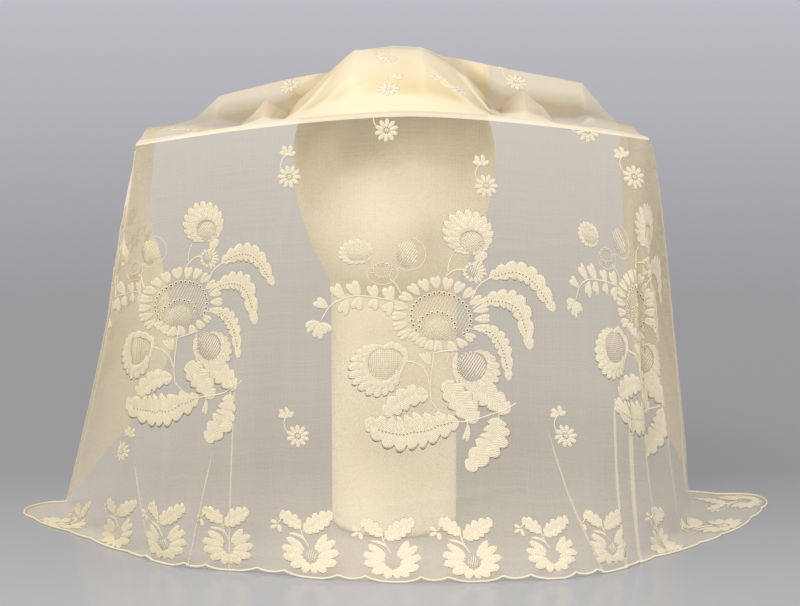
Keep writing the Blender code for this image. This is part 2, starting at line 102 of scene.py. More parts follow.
# x at the brow, x at the rear, height at the fold, dip and rear lines
TOP_LINES = {
    "left corner": (-0.217, -0.2186, 0.366, 0.358, 0.347),
    "left shoulder": (-0.190, -0.183, 0.369, 0.362, 0.360),
    "rear left peak": (-0.166, -0.160, 0.3675, 0.367, 0.380),
    "left valley": (-0.140, -0.136, 0.3665, 0.365, 0.3862),
    "left tent": (-0.111, -0.112, 0.3917, 0.366, 0.3922),
    "left tent foot": (-0.1015, -0.101, 0.3835, 0.367, 0.3947),
    "crown left foot": (-0.094, -0.090, 0.3812, 0.376, 0.3965),
    "crown left side": (-0.065, -0.062, 0.4095, 0.404, 0.402),
    "crown left peak": (-0.036, -0.034, 0.4352, 0.428, 0.408),
    "crown middle": (-0.004, 0.000, 0.4356, 0.4325, 0.415),
    "crown right peak": (0.026, 0.025, 0.4346, 0.431, 0.418),
    "crown right side": (0.045, 0.046, 0.424, 0.421, 0.4165),
    "crown temple": (0.063, 0.064, 0.411, 0.4075, 0.4135),
    "crown right foot": (0.082, 0.084, 0.386, 0.385, 0.4092),
    "right tent foot": (0.0925, 0.094, 0.383, 0.374, 0.4072),
    "right tent": (0.112, 0.114, 0.4018, 0.372, 0.403),
    "right tent edge": (0.139, 0.140, 0.375, 0.3695, 0.3982),
    "right valley": (0.158, 0.159, 0.373, 0.369, 0.3944),
    "rear right peak": (0.172, 0.1727, 0.375, 0.371, 0.3917),
    "right shoulder": (0.192, 0.190, 0.3715, 0.367, 0.371),
    "right corner": (0.2147, 0.2071, 0.3675, 0.361, 0.352),
}
TOP = columns_of(TOP_LINES, "x", "x_rear", "fold", "dip", "rear")
LAST_LINE = len(TOP_LINES) - 1

# where each line of the front ends, where on the brow it starts, how much lies flat, how late it flares
FALL_LINES = {
    "left side edge": (-0.307, 0.066, -0.2168, 0.000, 1.20),
    "left tip rear": (-0.328, 0.059, -0.2162, 0.024, 1.24),
    "left tip": (-0.345, 0.033, -0.2153, 0.045, 1.30),
    "left tip front": (-0.326, 0.000, -0.2132, 0.036, 1.42),
    "left corner": (-0.284, -0.046, -0.2085, 0.015, 1.70),
    "left bend": (-0.236, -0.098, -0.1990, 0.004, 2.60),
    "left front": (-0.187, -0.139, -0.1850, 0.000, 5.00),
    "left quarter": (-0.121, -0.155, -0.1250, 0.000, 7.00),
    "left of middle": (-0.055, -0.177, -0.0600, 0.000, 8.00),
    "middle": (0.020, -0.186, 0.0120, 0.000, 8.00),
    "right quarter": (0.106, -0.180, 0.0930, 0.000, 8.00),
    "right front": (0.160, -0.169, 0.1450, 0.000, 7.00),
    "right bend": (0.201, -0.143, 0.1830, 0.000, 4.50),
    "right corner": (0.240, -0.104, 0.2020, 0.012, 2.60),
    "right corner outer": (0.289, -0.055, 0.2090, 0.034, 1.60),
    "right tip front": (0.325, 0.000, 0.2120, 0.058, 1.10),
    "right tip": (0.348, 0.055, 0.2132, 0.074, 0.84),
    "right tip rear": (0.340, 0.088, 0.2138, 0.066, 0.78),
    "right far edge": (0.307, 0.092, 0.2142, 0.033, 0.76),
    "right side edge": (0.276, 0.101, 0.2145, 0.000, 0.74),
}
FALL = columns_of(FALL_LINES, "x", "y", "brow_x", "flat", "flare")
print("lines:", len(TOP_LINES), "over the top,", len(FALL_LINES), "down the front")

# %% Folds, pleats and creases
# soft folds of the front: place along the hem, half width, how far out, and from where to where down
FRONT_FOLDS = {
    "left edge roll": (0.060, 0.018, 0.0050, 0.15, 0.80),
    "left corner pleat": (0.175, 0.016, 0.0060, 0.15, 0.97),
    "left hem pleat": (0.255, 0.012, 0.0040, 0.60, 1.02),
    "left long pleat": (0.345, 0.016, 0.0050, 0.35, 0.99),
    "middle hollow": (0.475, 0.030, -0.0030, 0.55, 1.02),
    "right hem crease": (0.640, 0.013, 0.0050, 0.62, 1.02),
    "right inner pleat": (0.712, 0.012, 0.0080, 0.08, 0.98),
    "right hollow": (0.742, 0.010, -0.0060, 0.10, 0.96),
    "right outer pleat": (0.772, 0.013, 0.0080, 0.08, 0.95),
    "right edge roll": (0.880, 0.020, 0.0040, 0.15, 0.80),
}
# pleats, where the net doubles back: place along the hem at the pleat's top and at the hem, half
# width, how strongly it doubles back, which side lies on top (+1 right), and where it starts
PLEATS = {
    "left corner": (0.176, 0.247, 0.0034, 1.9, 1, 0.66),
    "left hem": (0.322, 0.286, 0.0034, 1.9, -1, 0.62),
    "left long": (0.334, 0.322, 0.0034, 1.8, 1, 0.44),
    "right hem": (0.590, 0.640, 0.0032, 2.1, -1, 0.58),
    "right inner": (0.673, 0.665, 0.0068, 1.9, -1, 0.50),
    "right middle": (0.700, 0.688, 0.0090, 2.0, -1, 0.52),
    "right outer": (0.762, 0.730, 0.0042, 1.9, -1, 0.16),
}
PLEAT_RISE = 0.0008
# fine creases pressed in when the cloth lay folded: from and to, in metres along and down, and height
PRESSED = (
    ((0.458, 0.346), (0.583, 0.328), 0.0010),
    ((0.574, 0.360), (0.595, 0.400), 0.0012),
    ((0.442, 0.366), (0.464, 0.400), 0.0012),
    ((0.411, 0.000), (0.385, 0.136), 0.0005),
    ((0.541, 0.120), (0.666, 0.100), 0.0005),
    ((0.260, 0.132), (0.375, 0.120), 0.0005),
)
# drag lines on the top, where the taut cloth pulls down from the crown: from and to in plan, and height
DRAGS = (
    ((-0.092, -0.126), (-0.052, -0.040), 0.0016),
    ((-0.078, -0.128), (-0.030, -0.070), 0.0010),
    ((-0.060, -0.128), (-0.015, -0.090), 0.0008),
    ((0.052, -0.020), (0.098, -0.110), 0.0034),
    ((0.030, -0.060), (0.080, -0.124), 0.0012),
    ((-0.176, -0.118), (-0.146, -0.020), 0.0022),
    ((0.150, -0.118), (0.176, -0.010), 0.0026),
    ((-0.125, -0.060), (-0.100, 0.060), 0.0018),
    ((0.128, -0.050), (0.140, 0.060), 0.0018),
)
PRESSED_WIDTH, DRAG_WIDTH = 0.0028, 0.0042

# %% [markdown]
# ## The front as a surface
#
# A point of the front is found from two numbers: how far along the hem it lies, and how far down from
# the brow. All points are worked out at once as arrays, which keeps the fine shell quick to make.


# %% Curves through the tables
def through_rows(values, position):
    """Values at positions counted in rows, on a curve that passes through each row's value."""
    last = len(values) - 1
    position = np.clip(position, 0.0, last)
    row = np.minimum(position.astype(int), last - 1)
    part = position - row
    before, after = values[np.maximum(row - 1, 0)], values[np.minimum(row + 2, last)]
    here, there = values[row], values[row + 1]
    bend = before - 2.5 * here + 2 * there - 0.5 * after
    turn = 3 * (here - there) + after - before
    return here + 0.5 * part * (there - before) + part**2 * bend + 0.5 * part**3 * turn


def curve_3d(points, share):
    """Points on a smooth curve through a few given ones, at shares of its length from 0 to 1."""
    points = np.array(points, float)
    return np.stack([through_rows(column, share * (len(points) - 1)) for column in points.T], -1)


def eased(value, start, end):
    """0 before start, 1 after end, with a soft step between."""
    share = np.clip((value - start) / (end - start), 0.0, 1.0)
    return share * share * (3 - 2 * share)


def brow_height(x):
    return 0.3946 - 0.0222 * (np.abs(x - 0.014) / HALF_BROW) ** 1.55


def band_share(x):
    """The tuck along the brow is full in the middle and dies out at both corners."""
    return 1.0 - 0.72 * np.minimum(np.abs(x) / HALF_BROW, 1.0) ** 3


def unit(vectors):
    return vectors / np.maximum(np.linalg.norm(vectors, axis=-1, keepdims=True), 1e-9)


# %% The front's plain fall
HEM_STEPS = np.concatenate([[0], np.cumsum(np.hypot(np.diff(FALL["x"]), np.diff(FALL["y"])))])
HEM_LENGTH = HEM_STEPS[-1]
FALL_STEPS = HEM_STEPS / HEM_LENGTH


def fall_value(wanted, along):
    rows = np.interp(along, FALL_STEPS, np.arange(len(FALL_STEPS)))
    return through_rows(FALL[wanted], rows)


def plain_fall(along, down):
    """The front before its folds: along the hem from 0 to 1, down from the brow 0 to the hem 1."""
    down = np.clip(down, 0.0, 1.0)
    brow_x = fall_value("brow_x", along)
    brow_z = brow_height(brow_x)
    end = np.stack([fall_value("x", along), fall_value("y", along)], -1)
    flat = np.maximum(fall_value("flat", along), 0.0)
    landing = end - unit(end) * flat[..., None]
    drop = brow_z - CLOTH_CLEAR
    landed = drop / (drop + flat)
    share = np.minimum(down / landed, 1.0)
    start = np.stack([brow_x, np.full_like(brow_x, BROW_Y)], -1)
    plan = start + (landing - start) * (share ** fall_value("flare", along))[..., None]
    lying = np.maximum(down - landed, 0) / np.maximum(1 - landed, 1e-9)
    plan = plan + (end - landing) * lying[..., None]
    return np.concatenate([plan, (brow_z - drop * share)[..., None]], -1)


print("hem length:", round(HEM_LENGTH, 3), "m")

# %% [markdown]
# ## Folds and creases
#
# Real net keeps three kinds of mark: wide soft folds, pleats where the cloth doubles back over itself,
# and fine creases pressed in while it lay in a drawer. A soft fold only pushes the surface out. A pleat
# also slides it sideways and back, so three layers overlap and the net looks denser there, and whatever
# is sewn on the middle layer is hidden, as on real cloth.


# %% Pleats, soft folds and pressed creases
PLEAT_GROWS, FOLD_GROWS, FOLD_FADES = 0.16, 0.3, 0.12  # shares of the fall over which each comes and goes
LANDING_REACH = 0.02
SLOPE_STEP = 0.004


def laid_pleats(along, down):
    """Where each place of the cloth lies once its pleats are laid, and how far its layer stands out."""
    moved, out = along.copy(), np.zeros_like(along)
    for at_top, at_foot, half_width, double, over, top in PLEATS.values():
        place = at_foot + (at_top - at_foot) * (1 - down) / (1 - top)
        across = (along - place) * HEM_LENGTH / half_width
        grown = eased(down, top, top + PLEAT_GROWS)
        moved -= double * half_width / HEM_LENGTH * across * np.exp(-across * across) * grown
        out += PLEAT_RISE * (1 + over * np.tanh(2 * across)) * np.exp(-((across / 3.2) ** 2)) * grown
    return moved, out


def crease_rise(place, creases, width):
    """How far a set of straight creases lifts the cloth at places given in metres."""
    rise = np.zeros(place.shape[:-1])
    for start, end, height in creases:
        way = np.array(end) - np.array(start)
        offset = place - np.array(start)
        share = offset @ way / (way @ way)
        away = (offset[..., 0] * way[1] - offset[..., 1] * way[0]) / np.linalg.norm(way)
        ends = eased(share, -0.05, 0.25) * (1 - eased(share, 0.75, 1.05))
        rise += height * np.exp(-((away / width) ** 2)) * ends
    return rise


def fall_points(along, down):
    """The front with its landing rounded off, its pleats laid and its folds raised outwards."""
    moved, out = laid_pleats(along, down)
    moved = np.clip(moved, 0.0, 1.0)
    reach = LANDING_REACH * np.minimum(1.0, np.minimum((1 - down) / LANDING_REACH, down / LANDING_REACH))
    points = plain_fall(moved, down - reach) + 2 * plain_fall(moved, down) + plain_fall(moved, down + reach)
    points /= 4
    for at, half_width, rise, top, foot in FRONT_FOLDS.values():
        across = (moved - at) * HEM_LENGTH / half_width
        grown = eased(down, top, top + FOLD_GROWS) * (1 - eased(down, foot - FOLD_FADES, foot))
        out += rise * np.exp(-across * across) * grown
    out += crease_rise(np.stack([moved * HEM_LENGTH, down * FALL_LENGTH], -1), PRESSED, PRESSED_WIDTH)
    # folds flatten where the cloth nears the table and at its two ends
    height = points[..., 2]
    lift = height / (height + 0.01) * eased(np.minimum(along, 1 - along) * HEM_LENGTH, 0.0, 0.04)
    ahead, behind = np.minimum(moved + SLOPE_STEP, 1), np.maximum(moved - SLOPE_STEP, 0)
    run = plain_fall(ahead, down) - plain_fall(behind, down)
    outward = unit(np.stack([run[..., 1], -run[..., 0], np.zeros_like(along)], -1))
    return points + outward * (out * lift)[..., None]


# %% The scalloped edge, with a long lobe under each border flower and a short one between
FLOWER_PLACES = np.array(
    (0.100, 0.190, 0.262, 0.322, 0.394, 0.464, 0.530, 0.596, 0.652, 0.735, 0.830, 0.920)
)
END_PITCH = 0.071


def hem_depth(along):
    """How far the scalloped edge stays inside the hem line."""
    number = np.interp(along, FLOWER_PLACES, np.arange(len(FLOWER_PLACES)))
    number += (along - np.clip(along, FLOWER_PLACES[0], FLOWER_PLACES[-1])) / END_PITCH
    place = (number + LONG_LOBE / 2) % 1.0
    long_lobe = np.sin(np.pi * np.clip(place / LONG_LOBE, 0, 1)) ** 0.6
    short_lobe = np.sin(np.pi * np.clip((place - LONG_LOBE) / (1 - LONG_LOBE), 0, 1)) ** 0.6
    return SCALLOP_DEPTH * (1 - np.where(place < LONG_LOBE, long_lobe, 0.6 * short_lobe))


# %% [markdown]
# ## Turning a grid of points into cloth
#
# A shell is a grid of four-sided faces. Its UV map holds the place in the flat cloth, in metres, so the
# weave of the net runs with the cloth round every fold. The same grid is kept as a map of the cloth:
# lengths along it and down it, and which way its outside faces.


# %% Shell maker and cloth map
def cloth_lengths(grid, axis):
    steps = np.linalg.norm(np.diff(grid, axis=axis), axis=-1)
    pad = [(0, 0), (0, 0)]
    pad[axis] = (1, 0)
    return np.pad(np.cumsum(steps, axis=axis), pad)


def new_object(name, data):
    made = bpy.data.objects.new(name, data)
    bpy.context.scene.collection.objects.link(made)
    return made


def fill_uv(mesh, layer_name, uv):
    """Writes one UV pair for each point of the mesh to all the corners that meet there."""
    layer = mesh.uv_layers.new(name=layer_name)
    loops = np.zeros(len(mesh.loops), np.int32)
    mesh.loops.foreach_get("vertex_index", loops)
    layer.data.foreach_set("uv", uv[loops].astype(np.float32).ravel())


def shell(name, grid, outwards):
    """A mesh object from a grid of points, whose faces look outwards."""
    rows, columns = grid.shape[:2]
    corner = (np.arange(rows - 1)[:, None] * columns + np.arange(columns - 1)[None]).ravel()
    faces = np.stack([corner, corner + columns, corner + columns + 1, corner + 1], -1)
    points = grid.reshape(-1, 3)
    middle = points[faces[:, 0]]
    normals = np.cross(points[faces[:, 1]] - middle, points[faces[:, 3]] - middle)
    if (normals @ np.array(outwards)).sum() < 0:
        faces = faces[:, ::-1]
    mesh = bpy.data.meshes.new(name)
    mesh.from_pydata(points.tolist(), [], faces.tolist())
    across, along = cloth_lengths(grid, 1), cloth_lengths(grid, 0)
    centre = slice(columns // 2, columns // 2 + 1)
    across -= across[:, centre]
    uv = np.stack([across, np.broadcast_to(along[:, centre], along.shape)], -1)
    fill_uv(mesh, "Cloth", uv.reshape(-1, 2))
    mesh.shade_smooth()
    mesh.update()
    return new_object(name, mesh)


def cloth_map(grid, outwards):
    """Lengths over a grid whose rows run down, turned so that its columns run to the right outside."""
    run, fall = np.gradient(grid, axis=1), np.gradient(grid, axis=0)
    if (np.cross(run, -fall) @ np.array(outwards)).sum() < 0:
        return cloth_map(grid[:, ::-1], outwards)
    lengths = {"across": cloth_lengths(grid, 1), "down": cloth_lengths(grid, 0)}
    return {"points": grid, "out": unit(np.cross(run, -fall)), **lengths}


def shell_area(piece):
    return sum(face.area for face in piece.data.polygons)


# %% The front shell, with its columns crowded where the pleats are
FRONT_COLUMNS, FRONT_ROWS, CROWDING = 570, 140, 2.6
fine = np.linspace(0, 1, 4001)
crowd = np.ones_like(fine)
for at_top, at_foot, half_width, *_ in PLEATS.values():
    reach = 2.2 * half_width / HEM_LENGTH
    crowd[(fine > min(at_top, at_foot) - reach) & (fine < max(at_top, at_foot) + reach)] = CROWDING
crowd = np.cumsum(crowd)
columns_along = np.interp(np.linspace(crowd[0], crowd[-1], FRONT_COLUMNS), crowd, fine)
columns_along[0], columns_along[-1] = 0.0, 1.0
front_along, front_down = np.meshgrid(columns_along, np.linspace(0, 1, FRONT_ROWS))
fall_length = cloth_lengths(plain_fall(front_along, front_down), 0)[-1]
front_down = front_down * (1 - hem_depth(front_along) / fall_length)
front_grid = fall_points(front_along, front_down)
front_net = shell("front_net", front_grid, (0, -1, 0))
front_map = cloth_map(front_grid, (0, -1, 0))
print("front shell:", len(front_net.data.polygons), "faces, area", round(shell_area(front_net), 3))

# %% [markdown]
# ## The top
#
# The top runs from the crease back over the head. It is highest over the crown, and on both sides the
# spare width stands up in a tent-like fold that dies out towards the brow. Two attributes tell its
# material how the cloth lies: how many layers rest on each other, and how pale it is, with painted
# highlight on its ridges and painted shade in its hollows.


# %% The top shell
CRISPNESS = 0.95  # 1 would make every ridge of the top a sharp line
TOP_COLUMNS, TOP_ROWS = 400, 70


def top_points(line, depth):
    """The top at line numbers and depths, 0 at the brow and 1 at the rear."""
    value = {}
    for name, rows in TOP.items():
        straight = np.interp(line, np.arange(len(rows)), rows)
        crisp = 0.0 if name in ("x", "x_rear") else CRISPNESS
        value[name] = straight * crisp + through_rows(rows, line) * (1 - crisp)
    front_y = BROW_Y + BAND_DEPTH
    y = front_y + (REAR_Y - front_y) * depth
    x = value["x"] * (1 - depth) + value["x_rear"] * depth
    brow = brow_height(value["x"]) + BAND_HEIGHT * band_share(value["x"])
    climb = np.sin(np.pi / 2 * np.clip((y - front_y) / (FOLD_Y - front_y), 0, 1))
    sink = eased(y, FOLD_Y, DIP_Y)
    rise = eased(y, DIP_Y, REAR_Y + 0.02) / eased(REAR_Y, DIP_Y, REAR_Y + 0.02)
    z = brow + (value["fold"] - brow) * climb
    z = z + (value["dip"] - value["fold"]) * sink + (value["rear"] - value["dip"]) * rise
    z = z + crease_rise(np.stack([x, y], -1), DRAGS, DRAG_WIDTH) * eased(depth, 0.0, 0.08)
    return np.stack([x, y, z], -1)


def smoothed(field, times):
    """A field of numbers averaged again and again with its neighbours."""
    for _ in range(times):
        for axis in (0, 1):
            padded = np.pad(field, [(1, 1) if axis == side else (0, 0) for side in (0, 1)], "edge")
            field = (np.delete(padded, (-1, -2), axis) + field + np.delete(padded, (0, 1), axis)) / 3
    return field


top_line, top_depth = np.meshgrid(np.linspace(0, LAST_LINE, TOP_COLUMNS), np.linspace(0, 1, TOP_ROWS))
top_grid = top_points(top_line, top_depth)
top_net = shell("top_net", top_grid, (0, 0, 1))
top_map = cloth_map(top_grid[::-1], (0, 0, 1))

# %% Layers of the top, and where it is paler, with painted light and shade
# over the crown, and where the top lies nearly level, the loose cloth rests in more than one layer
over_crown = eased(top_line, 5.4, 6.6) * (1 - eased(top_line, 12.6, 13.6))
level = eased(np.abs(top_map["out"][::-1, :, 2]), 0.35, 0.95)
# ridges stand above their surroundings and get a painted highlight, hollows lie below and get painted shade
FINE_STANDING, WIDE_STANDING = 0.0016, 0.010
height = top_grid[..., 2]
standing = (height - smoothed(height, 20)) / FINE_STANDING + (height - smoothed(height, 200)) / WIDE_STANDING
standing = np.clip(standing, -1, 1)
# the cloth lies double just behind the brow, and the sides of the tents that face the front are folded
strip = 1 - eased(top_depth, 0.06, 0.15)
facing = 1 - eased(top_depth, 0.42, 0.56)
layers = np.maximum(over_crown, 0.18 * level)
layers = layers + 0.20 * np.maximum(standing, 0) + 0.40 * np.maximum(-standing, 0)
layers = layers + 0.55 * strip + 0.35 * facing
# painted highlight on ridges and painted shade in hollows, and a paler tone where the cloth lies double
pale_and_painted_light = standing * (1 - strip) + 0.08 * over_crown + 1.2 * strip + 0.7 * facing * (1 - over_crown)
for label, values in (("Layers", layers), ("Pale_and_painted_light", pale_and_painted_light)):
    top_net.data.attributes.new(label, "FLOAT", "POINT").data.foreach_set("value", values.ravel())
print("top shell:", len(top_net.data.polygons), "faces, mean layers", round(float(layers.mean()), 2))

# %% The tuck along the brow
BAND_SECTION = ((0.0, 0.0), (0.0003, 0.25), (0.0010, 0.60), (0.0030, 0.90), (BAND_DEPTH, 1.0))
band_x = np.linspace(-0.2170, HALF_BROW, 260)
band_rows = []
for back, up in BAND_SECTION:
    band_z = brow_height(band_x) + BAND_HEIGHT * band_share(band_x) * up
    band_rows.append(np.stack([band_x, np.full_like(band_x, BROW_Y + back), band_z], -1))
brow_tuck = shell("brow_tuck", np.array(band_rows), (0, 0, 1))

# %% [markdown]
# ## The sides and the back
#
# At each side the cloth turns round the front's edge and hangs free, which doubles the net there. Behind
# the head the rest is gathered into soft pleats.

# %% Side shells
# end of the front, line of the top, bulge, and the free edges: down the rear, then along the foot
SIDE_FALLS = {
    "side_net_left": (
        0.0,
        0,
        -0.010,
        ((-0.2260, 0.091, 0.270), (-0.2160, 0.092, 0.225), (-0.2040, 0.093, 0.147)),
        ((-0.2380, 0.090, 0.078), (-0.2800, 0.078, 0.030)),
    ),
    "side_net_right": (
        1.0,
        LAST_LINE,
        0.006,
        ((0.2120, 0.092, 0.270), (0.2160, 0.095, 0.225), (0.2250, 0.100, 0.130)),
        ((0.2450, 0.102, 0.090), (0.2650, 0.102, 0.040)),
    ),
}
SIDE_ROWS, SIDE_COLUMNS, SIDE_FOOT = 80, 60, 0.985


def side_grid(front_end, line_number, bulge, rear_edge, lower_edge):
    """Hung from the top's side edge, bounded by the front's edge and its own rear and lower edges."""
    steps = np.linspace(0, SIDE_FOOT, SIDE_ROWS), np.linspace(0, 1, SIDE_COLUMNS)
    down, back = np.meshgrid(*steps, indexing="ij")
    end, line = np.full_like(down, front_end), np.full_like(back, float(line_number))
    front_edge, top_edge = plain_fall(end, down), top_points(line, back)
    first, last = (plain_fall(end[:1, :1], np.full((1, 1), share))[0, 0] for share in (0.0, 1.0))
    rear_points = [top_points(line[:1, :1], np.ones((1, 1)))[0, 0], *rear_edge]
    rear = curve_3d(rear_points, down)
    lower = curve_3d([last, *lower_edge[::-1], rear_points[-1]], back)
    d, b = down[..., None], back[..., None]
    ruled = front_edge * (1 - b) + rear * b + top_edge * (1 - d) + lower * d
    corners = (first * (1 - b) + rear_points[0] * b) * (1 - d) + (last * (1 - b) + rear_points[-1] * b) * d
    points = ruled - corners
    swell = np.sin(np.pi * back) * np.sin(np.pi * down**0.6)
    ripple = 0.004 * np.sin(3 * np.pi * back) * down * (1 - back)
    points[..., 0] += bulge * swell + ripple
    return points


side_nets, side_maps = {}, {}
for name, side in SIDE_FALLS.items():
    grid, outwards = side_grid(*side), (side[2], 0, 0)
    side_nets[name] = shell(name, grid, outwards)
    side_maps[name] = cloth_map(grid, outwards)

# %% Back shell
# height, left side, right side, how far back
BACK_LINES = np.array(
    (
        (0.4130, -0.0894, 0.0834, 0.0915),
        (0.3950, -0.0880, 0.0830, 0.1010),
        (0.3650, -0.0860, 0.0825, 0.1080),
        (0.3200, -0.0810, 0.0790, 0.1110),
        (0.2750, -0.0700, 0.0700, 0.1100),
        (0.2300, -0.0560, 0.0560, 0.1050),
        (0.1800, -0.0520, 0.0520, 0.1020),
        (0.1300, -0.0530, 0.0530, 0.1040),
        (0.0800, -0.0545, 0.0545, 0.1090),
    )
)
BACK_PLEATS, BACK_PLEAT_DEPTH = 5, 0.0075
back_down, back_across = np.meshgrid(np.linspace(0, 1, 90), np.linspace(0, 1, 160), indexing="ij")
back_z, back_left, back_right, back_y = np.moveaxis(curve_3d(BACK_LINES, back_down), -1, 0)
back_x = back_left + (back_right - back_left) * back_across
wave = 0.5 + 0.5 * np.cos(2 * np.pi * BACK_PLEATS * back_across)
back_y = back_y + BACK_PLEAT_DEPTH * eased(back_down, 0.0, 0.45) * wave
rear_z = np.interp(back_x, TOP["x_rear"], TOP["rear"])
back_z = back_z + (rear_z - BACK_LINES[0, 0]) * (1 - eased(back_down, 0.0, 0.15))
back_grid = np.stack([back_x, back_y, back_z], -1)
back_net = shell("back_net", back_grid, (0, 1, 0))
back_map = cloth_map(back_grid, (0, 1, 0))
print("side and back shells:", [round(shell_area(piece), 3) for piece in (*side_nets.values(), back_net)])

# %% [markdown]
# ## The head form
#
# The head form is a plain egg on a straight neck, covered with tight linen. More sides than the solid
# has give it a smooth outline.

# %% Head and neck
HEAD_SIDES = 96
HEAD_WIDEST, HEAD_TOP = 0.336, 0.4328
HEAD_RADII = (0.090, 0.100, 0.0955)
NECK_RADIUS, NECK_EDGE, NECK_TOP = 0.0565, 0.008, 0.2217
# height, half width, reach to the front and to the back, up to the widest ring
HEAD_RINGS = (
    (0.2220, 0.0560, 0.0570, 0.0560),
    (0.2330, 0.0605, 0.0690, 0.0610),
    (0.2450, 0.0668, 0.0790, 0.0690),
    (0.2650, 0.0757, 0.0890, 0.0790),
    (0.2900, 0.0838, 0.0960, 0.0880),
    (0.3150, 0.0886, 0.0992, 0.0940),
    (HEAD_WIDEST, *HEAD_RADII),
)


def lofted(name, rings):
    """A closed solid through oval rings: height, half width, reach to the front and to the back."""
    shape = bmesh.new()
    turns = np.linspace(0, 2 * np.pi, HEAD_SIDES, endpoint=False)
    loops = []
    for z, half_width, front, back in rings:
        reach = np.where(np.sin(turns) < 0, front, back)
        places = [(half_width * math.cos(t), r * math.sin(t), z) for t, r in zip(turns, reach)]
        loops.append([shape.verts.new(place) for place in places])
    for below, above in zip(loops, loops[1:]):
        for i in range(HEAD_SIDES):
            j = (i + 1) % HEAD_SIDES
            shape.faces.new((below[i], below[j], above[j], above[i]))
    shape.faces.new(loops[0][::-1])
    shape.faces.new(loops[-1])
    bmesh.ops.recalc_face_normals(shape, faces=shape.faces)
    mesh = bpy.data.meshes.new(name)
    shape.to_mesh(mesh)
    shape.free()
    mesh.shade_smooth()
    mesh.set_sharp_from_angle(angle=math.radians(40))
    return new_object(name, mesh)


quarter = np.linspace(0, math.pi / 2, 40)[1:-1]
dome = [
    (HEAD_WIDEST + (HEAD_TOP - HEAD_WIDEST) * math.sin(rise), *(size * math.cos(rise) for size in HEAD_RADII))
    for rise in quarter
]
head_rings = [*curve_3d(HEAD_RINGS, np.linspace(0, 1, 40)), *dome, (HEAD_TOP, 0.002, 0.002, 0.002)]
head_cover = lofted("head_cover", head_rings)
neck_rings = []
for turn in np.linspace(0, math.pi / 2, 10):
    radius = NECK_RADIUS - NECK_EDGE * (1 - math.sin(turn))
    neck_rings.append((NECK_EDGE * (1 - math.cos(turn)), radius, radius, radius))
neck_rings += [(z, NECK_RADIUS, NECK_RADIUS, NECK_RADIUS) for z in np.linspace(0.02, NECK_TOP, 12)]
neck_cover = lofted("neck_cover", neck_rings)
print("head form:", len(head_cover.data.polygons), "and", len(neck_cover.data.polygons), "faces")

# %% [markdown]
# ## Building node trees
#
# Materials and Geometry Nodes are both trees of nodes. Three small helpers build them all: one makes a
# tree with named inputs and outputs, one adds a node with its settings and links, one adds arithmetic.


# %% Tree helpers
def new_tree(name, kind, inputs, outputs):
    """A node tree; an input is a size with its value, or a socket of a named sort."""
    tree = bpy.data.node_groups.new(name, kind)
    for label, value in inputs.items():
        sort = value if isinstance(value, str) else "Int" if isinstance(value, int) else "Float"
        socket = tree.interface.new_socket(label, in_out="INPUT", socket_type="NodeSocket" + sort)
        if not isinstance(value, str):
            socket.default_value = value
    for label, sort in outputs.items():
        tree.interface.new_socket(label, in_out="OUTPUT", socket_type="NodeSocket" + sort)
    return tree, tree.nodes.new("NodeGroupInput").outputs, tree.nodes.new("NodeGroupOutput").inputs


def node(tree, kind, links=None, **settings):
    """A node with some settings, whose inputs take other nodes' sockets or plain values."""
    made = tree.nodes.new(kind)
    for key, value in settings.items():
        setattr(made, key, value)
    for key, value in (links or {}).items():
        if isinstance(value, bpy.types.NodeSocket):
            tree.links.new(value, made.inputs[key])
        else:
            made.inputs[key].default_value = value
    return made


def math_node(tree, operation, *values):
    """The result of a math node whose inputs are numbers or other nodes' sockets."""
    return node(tree, "ShaderNodeMath", dict(enumerate(values)), operation=operation).outputs[0]


# %% [markdown]
# ## A weave that several cloths share
#
# Net, satin thread and linen all show threads that cross or lie side by side. One node group makes such
# threads from a flat place in metres: two sets of waves, warp and weft, slow uneven streaks along both,
# as hand-made yarn has, and soft clouds. Each cloth then uses its own pitch and strength.


# %% Thread group
def stretched_noise(tree, source, scale, detail):
    """Noise whose blotches are stretched by giving each direction its own scale."""
    mapped = node(tree, "ShaderNodeMapping", {"Vector": source, "Scale": scale}).outputs[0]
    return node(tree, "ShaderNodeTexNoise", {"Vector": mapped, "Scale": 1.0, "Detail": detail}).outputs[0]


thread_group, given, put = new_tree(
    "crossed_threads",
    "ShaderNodeTree",
    {"Place": "Vector", "Threads per metre": 900.0},
    {"Threads": "Float", "Streaks": "Float", "Clouds": "Float"},
)
parts = node(thread_group, "ShaderNodeSeparateXYZ", {0: given["Place"]}).outputs
turns = math_node(thread_group, "MULTIPLY", given["Threads per metre"], 2 * math.pi)
waves = []
for axis in (0, 1):
    swing = math_node(thread_group, "SINE", math_node(thread_group, "MULTIPLY", parts[axis], turns))
    waves.append(math_node(thread_group, "MULTIPLY_ADD", swing, 0.5, 0.5))
weft = stretched_noise(thread_group, given["Place"], (9.0, 620.0, 9.0), 2.0)
warp = stretched_noise(thread_group, given["Place"], (520.0, 7.0, 7.0), 2.0)
streaks = math_node(thread_group, "MULTIPLY_ADD", weft, 0.65, math_node(thread_group, "MULTIPLY", warp, 0.35))
results = {
    "Threads": math_node(thread_group, "MAXIMUM", *waves),
    "Streaks": math_node(thread_group, "SUBTRACT", streaks, 0.5),
    "Clouds": stretched_noise(thread_group, given["Place"], (14.0, 14.0, 14.0), 3.0),
}
for label, socket in results.items():
    thread_group.links.new(socket, put[label])


# %% Material helpers
def new_material(name, color, roughness, specular=0.5, sheen=0.0):
    """A material, its node tree and its shader's inputs."""
    made = bpy.data.materials.new(name)
    made.use_nodes = True
    shader = made.node_tree.nodes["Principled BSDF"].inputs
    shader["Base Color"].default_value = (*color, 1)
    shader["Roughness"].default_value = roughness
    shader["Specular IOR Level"].default_value = specular
    shader["Sheen Weight"].default_value = sheen
    return made, made.node_tree, shader


